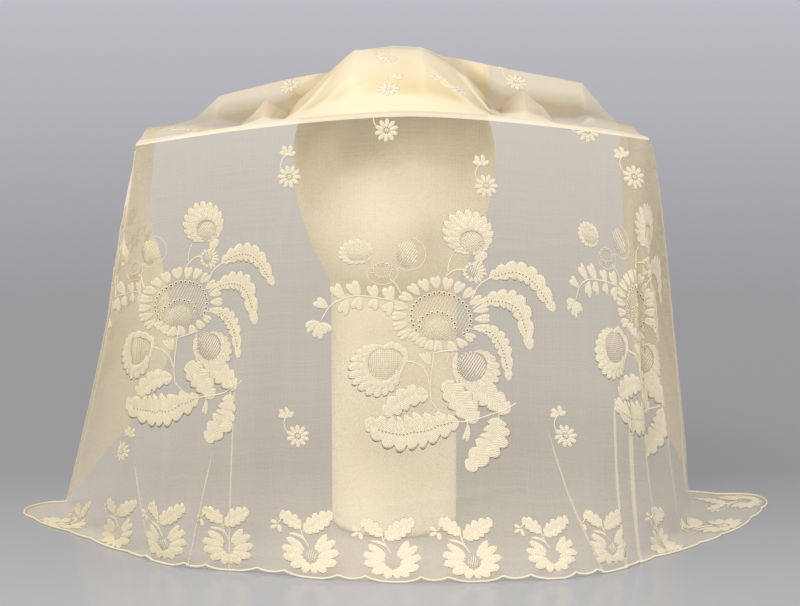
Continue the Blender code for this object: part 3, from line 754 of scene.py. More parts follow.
def place_in(tree, place):
    """Where a point lies: Object coordinates, or a UV map by its name."""
    if place == "Object":
        return node(tree, "ShaderNodeTexCoord").outputs["Object"]
    return node(tree, "ShaderNodeUVMap", uv_map=place).outputs[0]


def place_parts(tree, place):
    return node(tree, "ShaderNodeSeparateXYZ", {0: place_in(tree, place)}).outputs


def threads_in(tree, place, per_metre):
    """Adds the shared group to a material and gives its outputs."""
    links = {"Place": place_in(tree, place), "Threads per metre": per_metre}
    return node(tree, "ShaderNodeGroup", links, node_tree=thread_group).outputs


def carried(tree, value, start, end, low, high, **settings):
    """A value carried from one range to another."""
    sizes = {"Value": value, "From Min": start, "From Max": end, "To Min": low, "To Max": high}
    return node(tree, "ShaderNodeMapRange", sizes, **settings).outputs[0]


def tinted(tree, shader, share, *stops):
    """Base Color by a ramp through stops, each a place from 0 to 1 and a colour."""
    ramp = node(tree, "ShaderNodeValToRGB", {0: share})
    ends = ramp.color_ramp.elements
    for end, (place, color) in zip(ends, (stops[0], stops[-1])):
        end.position, end.color = place, (*color, 1)
    for place, color in stops[1:-1]:
        ramp.color_ramp.elements.new(place).color = (*color, 1)
    tree.links.new(ramp.outputs[0], shader["Base Color"])
    return ramp


def bumped(tree, shader, height, distance, strength):
    sizes = {"Height": height, "Distance": distance, "Strength": strength}
    tree.links.new(node(tree, "ShaderNodeBump", sizes).outputs[0], shader["Normal"])


# %% [markdown]
# ## Net, thread and linen
#
# Cotton net is mostly holes, so its alpha is low and swings with the threads. The tuck on the brow is two
# layers, so it covers more. Satin stitch is thread laid side by side: fine ridges across each petal, with
# a soft sheen. An eyelet's hole is filled by a disc of painted shade. The linen of the head form is a plain
# weave.

# %% Net
# threads or stitches to the metre
NET_THREADS, LINEN_THREADS, SATIN_ROWS, SHADE_THREADS, DRAWN_THREADS = 850.0, 700.0, 560.0, 1500.0, 700.0
STREAK_COVER, LAYER_COVER, PALE_SHARE, PALE_MIDDLE = 0.16, 0.50, 0.55, 0.52


def net_finish(name, cover, swing, stops, shade=1.0, layered=False):
    """Net that covers a share of what lies behind it; shade says how much of that its shadow keeps."""
    material, tree, shader = new_material(name, stops[min(1, len(stops) - 1)][1], 0.85, 0.2, 0.25)
    threads = threads_in(tree, "Cloth", NET_THREADS)
    tone = threads["Clouds"]
    covered = math_node(tree, "MULTIPLY_ADD", threads["Threads"], swing, cover - 0.75 * swing)
    covered = math_node(tree, "MULTIPLY_ADD", threads["Streaks"], STREAK_COVER, covered)
    if layered:
        # the top's tone gets painted highlight on ridges and painted shade in hollows, and is paler where the
        # cloth lies double
        pale_and_light_part = node(tree, "ShaderNodeAttribute", attribute_name="Pale_and_painted_light").outputs["Fac"]
        tone = math_node(tree, "MULTIPLY_ADD", pale_and_light_part, PALE_SHARE, tone)
        layer_count = node(tree, "ShaderNodeAttribute", attribute_name="Layers").outputs["Fac"]
        covered = math_node(tree, "MULTIPLY_ADD", layer_count, LAYER_COVER, covered)
    tinted(tree, shader, tone, *stops)
    if shade < 1:
        in_shadow = node(tree, "ShaderNodeLightPath").outputs["Is Shadow Ray"]
        lit = math_node(tree, "MULTIPLY_ADD", in_shadow, shade - 1, 1.0)
        covered = math_node(tree, "MULTIPLY", covered, lit)
    tree.links.new(covered, shader["Alpha"])
    return material


plain_stops = (0.0, NET_SHADE), (1.0, NET_CREAM)
top_stops = (0.0, TOP_PAINTED_SHADE), (PALE_MIDDLE, TOP_CREAM), (1.0, TOP_PALE_AND_HIGHLIGHT)
cotton_net = net_finish("cotton_net", 0.345, 0.12, plain_stops, shade=0.25)
folded_net = net_finish("folded_net", 0.86, 0.12, ((0.0, FOLD_CREAM), (1.0, NET_CREAM)), shade=0.34)
double_net = net_finish("double_net", 0.80, 0.10, plain_stops)
layered_net = net_finish("layered_net", 0.42, 0.12, top_stops, layered=True)

# %% Linen, with painted shade towards the top of the head, for the shade of the cloth laid over it
PAINTED_SHADE_FROM, PAINTED_SHADE_FULLY = 0.275, 0.395  # heights
linen_cover, tree, shader = new_material("linen_cover", LINEN, 0.9, 0.2)
threads = threads_in(tree, "Object", LINEN_THREADS)
share = math_node(tree, "MULTIPLY_ADD", threads["Threads"], 0.10, threads["Clouds"])
height = place_parts(tree, "Object")[2]
# painted shade: the linen darkens with height towards the top of the head
painted_shade = carried(tree, height, PAINTED_SHADE_FROM, PAINTED_SHADE_FULLY, -0.28, 0.66, interpolation_type="SMOOTHSTEP")
share = math_node(tree, "SUBTRACT", share, painted_shade)
tinted(tree, shader, share, (0.0, LINEN_PAINTED_SHADE), (0.35, LINEN_SHADE), (1.0, LINEN))
bumped(tree, shader, threads["Threads"], 0.0002, 0.2)

# %% Satin stitch
YELLOWED_FROM, YELLOWED_FULLY = -0.05, -0.30  # places from right to left
satin_stitch, tree, shader = new_material("satin_stitch", STITCH_WHITE, 0.5, sheen=0.3)
along_blade, across_blade, _ = place_parts(tree, "Stitch")
# the stitches slant away from the midrib on both sides
aslant = math_node(tree, "MULTIPLY", math_node(tree, "ABSOLUTE", across_blade), 0.7)
stitch_line = math_node(tree, "ADD", along_blade, aslant)
stitch_line = math_node(tree, "MULTIPLY", stitch_line, 2 * math.pi * SATIN_ROWS)
stitch_rows = math_node(tree, "MULTIPLY_ADD", math_node(tree, "SINE", stitch_line), 0.5, 0.5)
uneven = stretched_noise(tree, place_in(tree, "Stitch"), (700.0, 260.0, 260.0), 3.0)
share = math_node(tree, "MULTIPLY_ADD", stitch_rows, 0.34, uneven)
# the cotton has yellowed most towards the left
yellowed = carried(tree, place_parts(tree, "Object")[0], YELLOWED_FROM, YELLOWED_FULLY, 0.0, 0.26)
share = math_node(tree, "SUBTRACT", share, yellowed)
tinted(tree, shader, share, (0.20, STITCH_SHADE), (0.85, STITCH_WHITE))
bumped(tree, shader, stitch_rows, 0.0003, 0.8)
# the same stitches with painted shade, darker and yellower, where they hang in the folds behind the front
painted_shade_stitch = satin_stitch.copy()
painted_shade_stitch.name = "painted_shade_stitch"
painted_shade_ramp = next(one for one in painted_shade_stitch.node_tree.nodes if one.bl_idname == "ShaderNodeValToRGB")
for stop, tone in zip(painted_shade_ramp.color_ramp.elements, (PAINTED_SHADE_STITCH_DARK, PAINTED_SHADE_STITCH_WHITE)):
    stop.color = (*tone, 1)

# %% Painted shade inside the eyelets, and the ground of the drawn-thread places
eyelet_shade, tree, shader = new_material("eyelet_shade", EYELET_SHADE, 0.95)
clouds = threads_in(tree, "Stitch", SHADE_THREADS)["Clouds"]
tinted(tree, shader, clouds, (0.0, EYELET_SHADE), (1.0, EYELET_EDGE))
tree.links.new(math_node(tree, "MULTIPLY_ADD", clouds, 0.2, 0.68), shader["Alpha"])
open_work, tree, shader = new_material("open_work", OPEN_SHADE, 0.95)
left_threads = threads_in(tree, "Stitch", DRAWN_THREADS)["Threads"]
tinted(tree, shader, left_threads, (0.0, OPEN_SHADE), (1.0, NET_SHADE))
tree.links.new(math_node(tree, "MULTIPLY_ADD", left_threads, 0.04, 0.05), shader["Alpha"])

FINISHES = (satin_stitch, eyelet_shade, open_work)
DRESS = {cotton_net: [front_net], folded_net: [back_net, *side_nets.values()], layered_net: [top_net]}
DRESS.update({double_net: [brow_tuck], linen_cover: [head_cover, neck_cover]})
for material, pieces in DRESS.items():
    for piece in pieces:
        piece.data.materials.append(material)
print("materials:", sorted(material.name for material in (*DRESS, *FINISHES, painted_shade_stitch)))

# %% [markdown]
# ## Stitches that repeat, by Geometry Nodes
#
# Three things repeat all over the veil: cords that follow a line, eyelets set in a row along a line, and
# petals set round a middle. Each gets a small Geometry Nodes tree with named sizes. The trees work on
# flat drawings, and the finished flat meshes are laid on the cloth afterwards.


# %% Geometry helpers
def new_geometry_tree(name, **sizes):
    inputs = {"Geometry": "Geometry", **sizes}
    return new_tree(name, "GeometryNodeTree", inputs, {"Geometry": "Geometry"})


def circle(tree, sides, radius):
    sizes = {"Resolution": sides, "Radius": radius}
    return node(tree, "GeometryNodeCurvePrimitiveCircle", sizes).outputs[0]


def tube(tree, path, profile, caps=False):
    links = {"Curve": path, "Profile Curve": profile, "Fill Caps": caps}
    return node(tree, "GeometryNodeCurveToMesh", links).outputs[0]


def coated(tree, geometry, material):
    return node(tree, "GeometryNodeSetMaterial", {"Geometry": geometry, "Material": material}).outputs[0]


def instanced(tree, points, instance, **links):
    links = {"Points": points, "Instance": instance, **links}
    return node(tree, "GeometryNodeInstanceOnPoints", links).outputs[0]


def realized(tree, geometry):
    return node(tree, "GeometryNodeRealizeInstances", {"Geometry": geometry}).outputs[0]


def run_tree(tree, mesh, **sizes):
    """The plain mesh that a tree makes from a starting mesh."""
    holder = new_object(tree.name + "_holder", mesh)
    modifier = holder.modifiers.new(tree.name, "NODES")
    modifier.node_group = tree
    for item in tree.interface.items_tree:
        if item.item_type == "SOCKET" and item.in_out == "INPUT" and item.name in sizes:
            modifier[item.identifier] = sizes[item.name]
    graph = bpy.context.evaluated_depsgraph_get()
    result = bpy.data.meshes.new_from_object(holder.evaluated_get(graph), depsgraph=graph)
    bpy.data.objects.remove(holder)
    return result


def paths_mesh(paths):
    """One mesh of edges from several lines of points."""
    points, edges = [], []
    for path in paths:
        flat = [(*p, 0.0) if len(p) == 2 else tuple(p) for p in path]
        edges += [(len(points) + i, len(points) + i + 1) for i in range(len(flat) - 1)]
        points += flat
    mesh = bpy.data.meshes.new("paths")
    mesh.from_pydata(points, edges, [])
    return mesh


# %% Cord tree: a round cord along every line
cord_tree, given, put = new_geometry_tree("cord_along_line", Radius=0.00045, Sides=6)
line = node(cord_tree, "GeometryNodeMeshToCurve", {"Mesh": given["Geometry"]}).outputs[0]
cord = tube(cord_tree, line, circle(cord_tree, given["Sides"], given["Radius"]), caps=True)
cord_tree.links.new(coated(cord_tree, realized(cord_tree, cord), satin_stitch), put["Geometry"])

# %% Eyelet tree: bound holes at even steps along every line
EYELET_SIDES, RIM_SIDES = 9, 5
eyelet_tree, given, put = new_geometry_tree("eyelets_along_line", Spacing=0.0027, Radius=0.0009, Rim=0.00032)
line = node(eyelet_tree, "GeometryNodeMeshToCurve", {"Mesh": given["Geometry"]}).outputs[0]
spaced = {"Curve": line, "Length": given["Spacing"]}
steps = node(eyelet_tree, "GeometryNodeResampleCurve", spaced, mode="LENGTH").outputs[0]
rim_path = circle(eyelet_tree, EYELET_SIDES, given["Radius"])
rim = tube(eyelet_tree, rim_path, circle(eyelet_tree, RIM_SIDES, given["Rim"]))
disc = {"Vertices": EYELET_SIDES, "Radius": given["Radius"]}
# the hole is a disc of painted shade inside the stitched rim
painted_shade_disc = node(eyelet_tree, "GeometryNodeMeshCircle", disc, fill_type="NGON").outputs[0]
both = node(eyelet_tree, "GeometryNodeJoinGeometry")
for geometry, material in ((rim, satin_stitch), (painted_shade_disc, eyelet_shade)):
    eyelet_tree.links.new(coated(eyelet_tree, geometry, material), both.inputs[0])
placed = instanced(eyelet_tree, steps, both.outputs[0])
eyelet_tree.links.new(realized(eyelet_tree, placed), put["Geometry"])

# %% Petal tree: copies of one petal round part of a ring
petal_sizes = {"Count": 10, "Radius": 0.003, "Start": 0.0, "Sweep": 2 * math.pi}
petal_tree, given, put = new_geometry_tree("petals_round_middle", **petal_sizes)
ring = {"Count": "Resolution", "Radius": "Radius", "Start": "Start Angle", "Sweep": "Sweep Angle"}
ring = {theirs: given[ours] for ours, theirs in ring.items()}
arc = node(petal_tree, "GeometryNodeCurveArc", ring, mode="RADIUS").outputs[0]
outward = {"Vector": node(petal_tree, "GeometryNodeInputPosition").outputs[0]}
outward = node(petal_tree, "FunctionNodeAlignRotationToVector", outward, axis="X").outputs[0]
placed = instanced(petal_tree, arc, given["Geometry"], Rotation=outward)
petal_tree.links.new(coated(petal_tree, realized(petal_tree, placed), satin_stitch), put["Geometry"])
print("trees:", [tree.name for tree in (cord_tree, eyelet_tree, petal_tree)])

# %% [markdown]
# ## Drawing motifs flat
#
# A motif is drawn as the embroiderer would mark it on flat cloth: x to the right, y up, z off the cloth.
# Most of its parts are padded strips, domed on top and a little on the back, because satin stitch goes
# right through the net. A strip lies between two edge lines, so it makes petals, lobed leaves and the
# ruffled collars of the half-open flowers alike.


# %% Parts and padded strips
TOP_PROFILE = (-1.0, -0.75, 0.0, 0.75, 1.0)
RIBBED_PROFILE = (-1.0, -0.8, -0.38, -0.09, 0.0, 0.09, 0.38, 0.8, 1.0)
BACK_PROFILE = (0.7, 0.0, -0.7)
THIN = 0.0004  # a strip is less raised where it is narrower than this


def flat_part(points, faces, uv, finish=0):
    return {"points": points, "faces": faces, "uv": uv, "finish": [finish] * len(faces)}


def gathered(parts):
    """Several flat parts as one."""
    faces, finish, count = [], [], 0
    for part in parts:
        faces += [tuple(i + count for i in face) for face in part["faces"]]
        finish += part["finish"]
        count += len(part["points"])
    points, uv = (np.concatenate([part[key] for part in parts]) for key in ("points", "uv"))
    return {"points": points, "faces": faces, "uv": uv, "finish": finish}


def padded_strip(left, right, rise=0.00035, ribbed=False, waves=1.0):
    """A closed, domed strip between two edge lines, root first; waves lower it between its lobes."""
    top = RIBBED_PROFILE if ribbed else TOP_PROFILE
    across = np.array((*top, *BACK_PROFILE))
    dome = np.sqrt(np.maximum(1 - across**2, 0))
    if ribbed:
        dome = dome * (1 - 0.95 * np.exp(-((across / 0.10) ** 2)))
    dome[len(top) :] *= -0.4
    middle, half = (left + right) / 2, (right - left) / 2
    rings = middle[:, None] + half[:, None] * across[None, :, None]
    widths = np.linalg.norm(half, axis=1)
    heights = rise * (np.minimum(1.0, widths / THIN) * waves)[:, None] * dome[None]
    steps, around = len(left), len(across)
    points = np.concatenate([rings, heights[..., None]], -1).reshape(-1, 3)
    length = np.concatenate([[0], np.cumsum(np.linalg.norm(np.diff(middle, axis=0), axis=1))])
    uv = np.stack(np.broadcast_arrays(length[:, None], widths[:, None] * across), -1).reshape(-1, 2)
    faces = []
    for ring in range(0, (steps - 1) * around, around):
        for j in range(around):
            k = (j + 1) % around
            faces.append((ring + j, ring + k, ring + around + k, ring + around + j))
    faces.append(tuple(range(around))[::-1])
    faces.append(tuple((steps - 1) * around + j for j in range(around)))
    return flat_part(points, faces, uv)


# %% Petals and leaves
def smooth_path(points, steps):
    return curve_3d(points, np.linspace(0, 1, steps)) * MM


def between_lobes(lobes, share, floor, power):
    """1 on the middle of each lobe and the floor in the valleys between them."""
    return floor + (1 - floor) * np.abs(np.sin(lobes * np.pi * share)) ** power


def blade(
    path, half_width, fullest=0.5, lobes=0, depth=0.28, blunt=0.7, ribbed=False, rise=0.00035, lean=0.0
):
    """A petal or leaf along a path in millimetres, root first; fullest says where it is widest."""
    steps = max(7, 6 * lobes + 1)
    share = np.linspace(0, 1, steps)
    centre = smooth_path(path, steps)
    heading = unit(np.gradient(centre, axis=0))
    side = np.stack([heading[:, 1], -heading[:, 0]], -1)
    width = half_width * MM * np.sin(np.pi * share ** (math.log(0.5) / math.log(fullest))) ** blunt
    waves = 1.0
    if lobes:
        width *= between_lobes(lobes, share, 1 - depth, 0.75)
        waves = between_lobes(lobes, share, 0.45, 0.7)
    width = np.maximum(width, 0.00010)[:, None]
    forward = heading * width * lean * (1 - share**4)[:, None]
    return padded_strip(centre - side * width + forward, centre + side * width + forward, rise, ribbed, waves)


def leaf(path, half_width, fullest, lobes):
    """A lobed leaf, its lobes slanting forward from a midrib."""
    shape = {"depth": 0.34, "blunt": 0.52, "ribbed": True, "rise": 0.00034, "lean": 0.32}
    return blade(path, half_width, fullest, lobes, **shape)


def leaflet(path, half_width):
    """A small leaf of two blades that part at the tip."""
    root, middle, tip = np.array(path, float)
    way = unit(tip - root)
    beside = np.array((way[1], -way[0])) * half_width
    halves = []
    for side in (-1, 1):
        ways = (root, middle + beside * 0.30 * side, tip + (beside * 0.55 - way * 0.6 * (side + 1)) * side)
        halves.append(blade(ways, half_width * 0.58, 0.62, blunt=0.55))
    return gathered(halves)


def notched_petal(length, half_width):
    """Two slim blades side by side, whose tips leave a small notch between them."""
    halves = []
    for side in (-1, 1):
        path = ((0, 0.15 * side), (length * 0.5, 0.42 * half_width * side), (length, 0.5 * half_width * side))
        halves.append(blade(path, half_width * 0.62, 0.64, blunt=0.6))
    return gathered(halves)


# %% Fans, collars and drawn-thread places
def oval(middle, radii, start, end, steps):
    """Points on part of an oval, in millimetres, with angles in degrees running anticlockwise."""
    turn = np.radians(np.linspace(start, end, steps))
    return (np.array(middle) + np.stack([np.cos(turn) * radii[0], np.sin(turn) * radii[1]], -1)) * MM


def petal_fan(middle, radii, start, end, count, length, half_width):
    """Small petals set round part of an oval, pointing away from its middle, a little uneven."""
    made = []
    angles = np.radians(np.linspace(start, end, count))
    for number, (root, angle) in enumerate(zip(oval(middle, radii, start, end, count) / MM, angles)):
        way = unit(np.array((math.cos(angle) * radii[1], math.sin(angle) * radii[0])))
        far = length * (1 + 0.12 * math.sin(2.4 * number))
        path = (root, root + way * far / 2, root + way * far)
        made.append(blade(path, half_width, 0.64, blunt=0.5, rise=0.0003))
    return gathered(made)


def collar(middle, inner, outer_middle, outer, start, end, lobes, depth=0.22, rise=0.00035):
    """A ruffled collar round part of a flower: lobed outside, plain inside, narrow at both ends."""
    steps = 6 * lobes + 1
    share = np.linspace(0, 1, steps)
    inside = oval(middle, inner, start, end, steps)
    outside = oval(outer_middle, outer, start, end, steps)
    swell = np.sin(np.pi * share) ** 0.35 * between_lobes(lobes, share, 1 - depth, 0.6)
    edge = inside + (outside - inside) * np.maximum(swell, 0.06)[:, None]
    return padded_strip(inside, edge, rise, waves=between_lobes(lobes, share, 0.45, 0.7))


def open_patch(middle, radii, sides=20):
    """The place where threads are drawn out of the net."""
    edge = oval(middle, radii, 0, 360, sides + 1)[:-1]
    points = np.concatenate([edge, np.full((sides, 1), 0.00002)], -1)
    return flat_part(points, [tuple(range(sides))], edge, FINISHES.index(open_work))


def bars(middle, radii, angle, pitch, width, diamond=False):
    """Covered bars across an open oval or diamond, at one angle."""
    made = []
    way = np.array((math.cos(math.radians(angle)), math.sin(math.radians(angle))))
    beside = np.array((-way[1], way[0]))
    count = int(max(radii) / pitch) + 1
    for number in range(-count, count + 1):
        start = beside * number * pitch
        reach = shift = 0.0
        if diamond:
            spare = 1 - abs(start[0]) / radii[0] - abs(start[1]) / radii[1]
            if spare > 0:
                reach = spare / (abs(way[0]) / radii[0] + abs(way[1]) / radii[1])
        else:
            a = (way[0] / radii[0]) ** 2 + (way[1] / radii[1]) ** 2
            b = start[0] * way[0] / radii[0] ** 2 + start[1] * way[1] / radii[1] ** 2
            c = (start[0] / radii[0]) ** 2 + (start[1] / radii[1]) ** 2 - 1
            spare = b * b - a * c
            if spare > 0:
                reach, shift = math.sqrt(spare) / a, -b / a
        if reach < 1.2:
            continue
        first, last = (np.array(middle) + start + way * (shift + side * reach) for side in (-1, 1))
        line = np.array([first, (first + last) / 2, last]) * MM
        offset = np.array((way[1], -way[0])) * width * MM
        made.append(padded_strip(line - offset, line + offset, 0.0003))
    return made


def lattice(middle, radii, angle, pitch, width):
    """Bars at one angle and square to it."""
    return [bar for turn in (0, 90) for bar in bars(middle, radii, angle + turn, pitch, width)]


# %% From drawing to mesh and back
def from_mesh(mesh):
    """A flat part read back from a finished mesh, with each face's finish."""
    points = np.array([v.co[:] for v in mesh.vertices])
    uv = np.zeros((len(points), 2))
    layer = mesh.uv_layers.get("Stitch")
    finish = []
    for face in mesh.polygons:
        finish.append(FINISHES.index(mesh.materials[face.material_index]))
        if layer:
            for loop in face.loop_indices:
                uv[mesh.loops[loop].vertex_index] = layer.data[loop].uv[:]
    part = {**flat_part(points, [tuple(face.vertices) for face in mesh.polygons], uv), "finish": finish}
    bpy.data.meshes.remove(mesh)
    return part


def to_mesh(part, name):
    mesh = bpy.data.meshes.new(name)
    mesh.from_pydata(part["points"].tolist(), [], part["faces"])
    fill_uv(mesh, "Stitch", part["uv"])
    for material in FINISHES:
        mesh.materials.append(material)
    mesh.polygons.foreach_set("material_index", part["finish"])
    return mesh


def stems(paths, radius, steps=14):
    return from_mesh(run_tree(cord_tree, paths_mesh([smooth_path(p, steps) for p in paths]), Radius=radius))


def eyelets(path, spacing, radius, rim, height=0.0003):
    """A row of bound holes along a path in metres; the other sizes are in millimetres."""
    made = run_tree(eyelet_tree, paths_mesh([path]), Spacing=spacing * MM, Radius=radius * MM, Rim=rim * MM)
    part = from_mesh(made)
    part["points"] += np.array((0, 0, height))
    return part


def petal_ring(petal, count, radius, start, sweep, squash=1.0):
    """Petals round part of a ring; squash below 1 makes the ring a lying oval."""
    turns = {"Start": math.radians(start), "Sweep": math.radians(sweep)}
    made = run_tree(petal_tree, to_mesh(petal, "petal"), Count=count, Radius=radius * MM, **turns)
    part = from_mesh(made)
    part["points"] *= np.array((1, squash, 1))
    return part


# %% [markdown]
# ## Laying a flat motif on the cloth
#
# Each point of a flat motif is walked over the cloth: up from the motif's place along one line of the
# cloth, then sideways along the row that it reaches. The lengths are those of the folded surface, so a
# motif keeps its size, bends with the folds, and goes under where a pleat doubles back.


# %% Laying
LIFT = 0.0001


def lay(part, cloth, anchor, turn=0.0, size=1.0, narrow=(1.0, 1.0)):
    """World points of a flat part whose middle is at the cloth's nearest place to anchor.

    narrow draws the left and right halves in, where the cloth is bunched.
    """
    grid = cloth["points"]
    rows, columns = grid.shape[:2]
    row, col = np.unravel_index(((grid - np.array(anchor)) ** 2).sum(-1).argmin(), (rows, columns))
    c, s = math.cos(math.radians(turn)) * size, math.sin(math.radians(turn)) * size
    flat = part["points"].copy()
    flat[:, 0] *= np.where(flat[:, 0] < 0, *narrow)
    right, up = flat[:, 0] * c - flat[:, 1] * s, flat[:, 0] * s + flat[:, 1] * c
    reached = np.interp(cloth["down"][row, col] - up, cloth["down"][:, col], np.arange(rows))
    upper = np.minimum(reached.astype(int), rows - 2)
    share = (reached - upper)[:, None]
    result = np.zeros((len(flat), 3))
    for step, weight in ((0, 1 - share), (1, share)):
        across = np.zeros(len(flat))
        for r in np.unique(upper + step):
            chosen = upper + step == r
            lengths = cloth["across"][r]
            across[chosen] = np.interp(lengths[col] + right[chosen], lengths, np.arange(columns))
        left = np.minimum(across.astype(int), columns - 2)
        part_way = (across - left)[:, None]
        for beside, portion in ((0, 1 - part_way), (1, part_way)):
            place = (upper + step, left + beside)
            point = grid[place] + cloth["out"][place] * (flat[:, 2:3] * size + LIFT)
            result += point * weight * portion
    return {**part, "points": result}


def worked_piece(name, laid):
    """One mesh object of all the laid motifs."""
    mesh = to_mesh(gathered(laid), name)
    mesh.shade_smooth()
    mesh.update()
    print(name, sum(len(face.vertices) - 2 for face in mesh.polygons), "triangles")
    return new_object(name, mesh)


# %% [markdown]
# ## The great spray
#
# The same spray is worked three times across the front and once on each side: a sunflower with a
# horseshoe of eyelets, a ruffled carnation above, curled leaves to the right, buds to the left and
# half-open flowers below. Each kind of part has one table row: where it starts and ends, in millimetres
# from the sunflower's middle, and how wide it is.


# %% Sunflower
def sunflower():
    petal, small = notched_petal(14.0, 4.5), notched_petal(12.0, 4.2)
    return [
        petal_ring(petal, 15, 28.5, -16, 226, 0.83),
        petal_ring(small, 4, 24, 222, 44, 0.86),
        petal_ring(small, 3, 24, 288, 36, 0.86),
        open_patch((0, -1), (24, 19.5), 32),
        eyelets(oval((0, 0), (25.5, 21), -38, 214, 60), 4.2, 1.40, 0.52),
        eyelets(oval((-3, -7), (15.5, 11), -8, 188, 40), 4.2, 1.25, 0.50),
        *bars((0, -1), (24.5, 20), 62, 2.6, 0.24),
        *lattice((-3, -11), (12.5, 9.5), 38, 1.7, 0.30),
    ]


# %% Leaves and stems of the spray
# path, half width, where widest, lobes, and the row of eyelets along its midrib if it has one
SPRAY_LEAVES = (
    (((41, 36), (60, 43), (80, 37), (97, 10)), 9.6, 0.46, 8, ((46, 38), (62, 42), (78, 36), (91, 19))),
    (((34, 13), (52, 18), (68, 10), (77, -25)), 10.2, 0.50, 8, ((40, 15), (53, 16), (66, 9), (73, -8))),
    (((35, -8), (47, -14), (55, -28), (59, -54)), 7.8, 0.42, 7, ((39, -11), (46, -15), (53, -26), (57, -42))),
    (
        ((16, -89), (-10, -97), (-37, -101), (-66, -91)),
        17.5,
        0.50,
        9,
        ((9, -91), (-10, -98), (-32, -102), (-54, -97)),
    ),
    (((31, -91), (19, -74), (3, -56)), 13.5, 0.50, 5, None),
    (((60, -82), (43, -69), (26, -58)), 12.0, 0.48, 5, None),
    (((-10, -67), (-30, -71), (-50, -83)), 11.5, 0.48, 5, None),
    (((49, -86), (45, -106), (22, -131)), 14.0, 0.45, 6, None),
)
# leaflets and small buds: root, middle, tip and half width
SPRAY_LEAFLETS = (
    ((23, -91), (23, -98), (20, -107), 2.6),
    ((-9, -42), (-13, -38), (-17, -31), 2.3),
    ((-9, -42), (-10, -36), (-11, -30), 1.9),
    ((-41, 15), (-44, 20), (-46, 28), 5.0),
    ((-41, 14), (-45, 9), (-48, 3), 4.8),
    ((-55, 18), (-57, 22), (-60, 29), 4.4),
    ((-55, 17), (-57, 13), (-59, 7), 4.2),
    ((-69, 19), (-73, 24), (-78, 32), 5.2),
    ((-69, 18), (-71, 13), (-73, 6), 4.8),
    ((-82, 18), (-87, 22), (-92, 30), 4.8),
    ((-80, 17), (-82, 11), (-85, 3), 4.8),
    ((-96, 10), (-102, 14), (-108, 18), 4.4),
    ((-103, -2), (-99, -7), (-96, -13), 4.2),
    ((-103, -2), (-105, -9), (-106, -17), 4.4),
    ((-103, -2), (-110, -3), (-116, -8), 4.2),
)
LEAFLET_FULLNESS = 1.15
SPRAY_STEMS = (
    ((-4, -20), (-6, -34), (-8, -50), (-9, -72), (4, -88), (14, -90), (28, -88), (48, -83), (65, -74)),
    ((-5, -32), (4, -29), (15, -27)),
    ((-29, -39), (-15, -44), (-9, -60)),
    ((26, 17), (33, 30), (45, 37)),
    ((27, 9), (32, 13), (38, 15)),
    ((24, -8), (30, -9), (38, -11)),
    ((-28, 10), (-41, 15), (-55, 18), (-69, 19), (-82, 18), (-95, 11), (-103, -2)),
    ((50, -83), (50, -90)),
    ((22, -88), (23, -92)),
    ((21, 43), (12, 42), (4, 36)),
    ((10, 55), (7, 48), (6, 40)),
    ((-44, 34), (-38, 28), (-34, 20)),
)


# %% Flowers of the spray
def carnation_and_bud():
    """The carnation in three tiers of ruffles round a mesh, and the round bud with its spiky crown."""
    return [
        collar((26, 67), (10, 9), (22, 73), (24, 22), -85, 265, 17, 0.22, 0.00030),
        collar((26, 67), (10, 9), (23, 72), (19, 17), -62, 242, 14, 0.24, 0.00050),
        collar((26, 67), (10, 9), (24, 71), (14.5, 13), -40, 220, 11, 0.24, 0.00070),
        *lattice((27, 65), (10, 9.5), 45, 1.7, 0.42),
        blade(((29, 51), (34, 54), (39, 57)), 4.6, blunt=0.45),
        petal_fan((27, 41), (4.5, 4.5), 80, 290, 8, 4.0, 1.9),
        *bars((28, 41), (5, 5), 70, 1.8, 0.4),
        petal_fan((28, 41), (3, 3), -75, 75, 8, 8.0, 1.4),
    ]


def left_group():
    """A small flower head and two outlined buds."""
    outlines = [oval((-50, 39), (13, 10), 170, 390, 20) / MM, oval((-27, 54), (14, 14), -130, 80, 20) / MM]
    return [
        collar((-70, 56), (10, 6), (-71, 57), (17, 12), -10, 345, 16, 0.30),
        *lattice((-70, 56), (11, 7), 40, 1.7, 0.5),
        eyelets(oval((-50, 41), (8.5, 6), 0, 338, 40), 3.4, 0.95, 0.45),
        stems(outlines[:1], 0.0003, 30),
        *bars((-29, 54), (9, 11), 55, 1.9, 0.55),
        stems(outlines[1:], 0.0003, 30),
    ]


def half_open_flowers():
    """The half-open flower at the lower left and the open one at the lower right."""
    return [
        collar((-50, -40), (12, 14), (-54, -45), (27, 26), 80, 345, 15, 0.22, 0.00030),
        collar((-50, -40), (12, 14), (-52, -43), (20, 20), 100, 320, 12, 0.24, 0.00050),
        *lattice((-49, -39), (13, 14), 0, 1.8, 0.28),
        blade(((-50, -26), (-40, -24), (-30, -34), (-36, -50)), 3.6, 0.4, 6, 0.25),
        open_patch((27, -42), (12, 13)),
        *bars((27, -42), (11.5, 12.5), 58, 2.1, 0.55),
        collar((27, -41), (12, 12.5), (31, -45), (22, 21), -160, 84, 12, 0.22, 0.00032),
        blade(((14, -29), (12, -42), (15, -57)), 2.8, 0.5, 5, 0.25),
        eyelets(oval((27, -42), (12.5, 13), 80, 200, 30), 3.4, 0.9, 0.45),
    ]


def spray():
    parts = [gathered(sunflower()), stems(SPRAY_STEMS, 0.00055)]
    for path, half_width, fullest, lobes, midrib in SPRAY_LEAVES:
        parts.append(leaf(path, half_width, fullest, lobes))
        if midrib:
            parts.append(eyelets(smooth_path(midrib, 20), 3.0, 0.72, 0.20, 0.00040))
    parts += [leaflet(path, half_width * LEAFLET_FULLNESS) for *path, half_width in SPRAY_LEAFLETS]
    return gathered(parts + carnation_and_bud() + left_group() + half_open_flowers())


great_spray = spray()
print("great spray:", len(great_spray["faces"]), "faces")

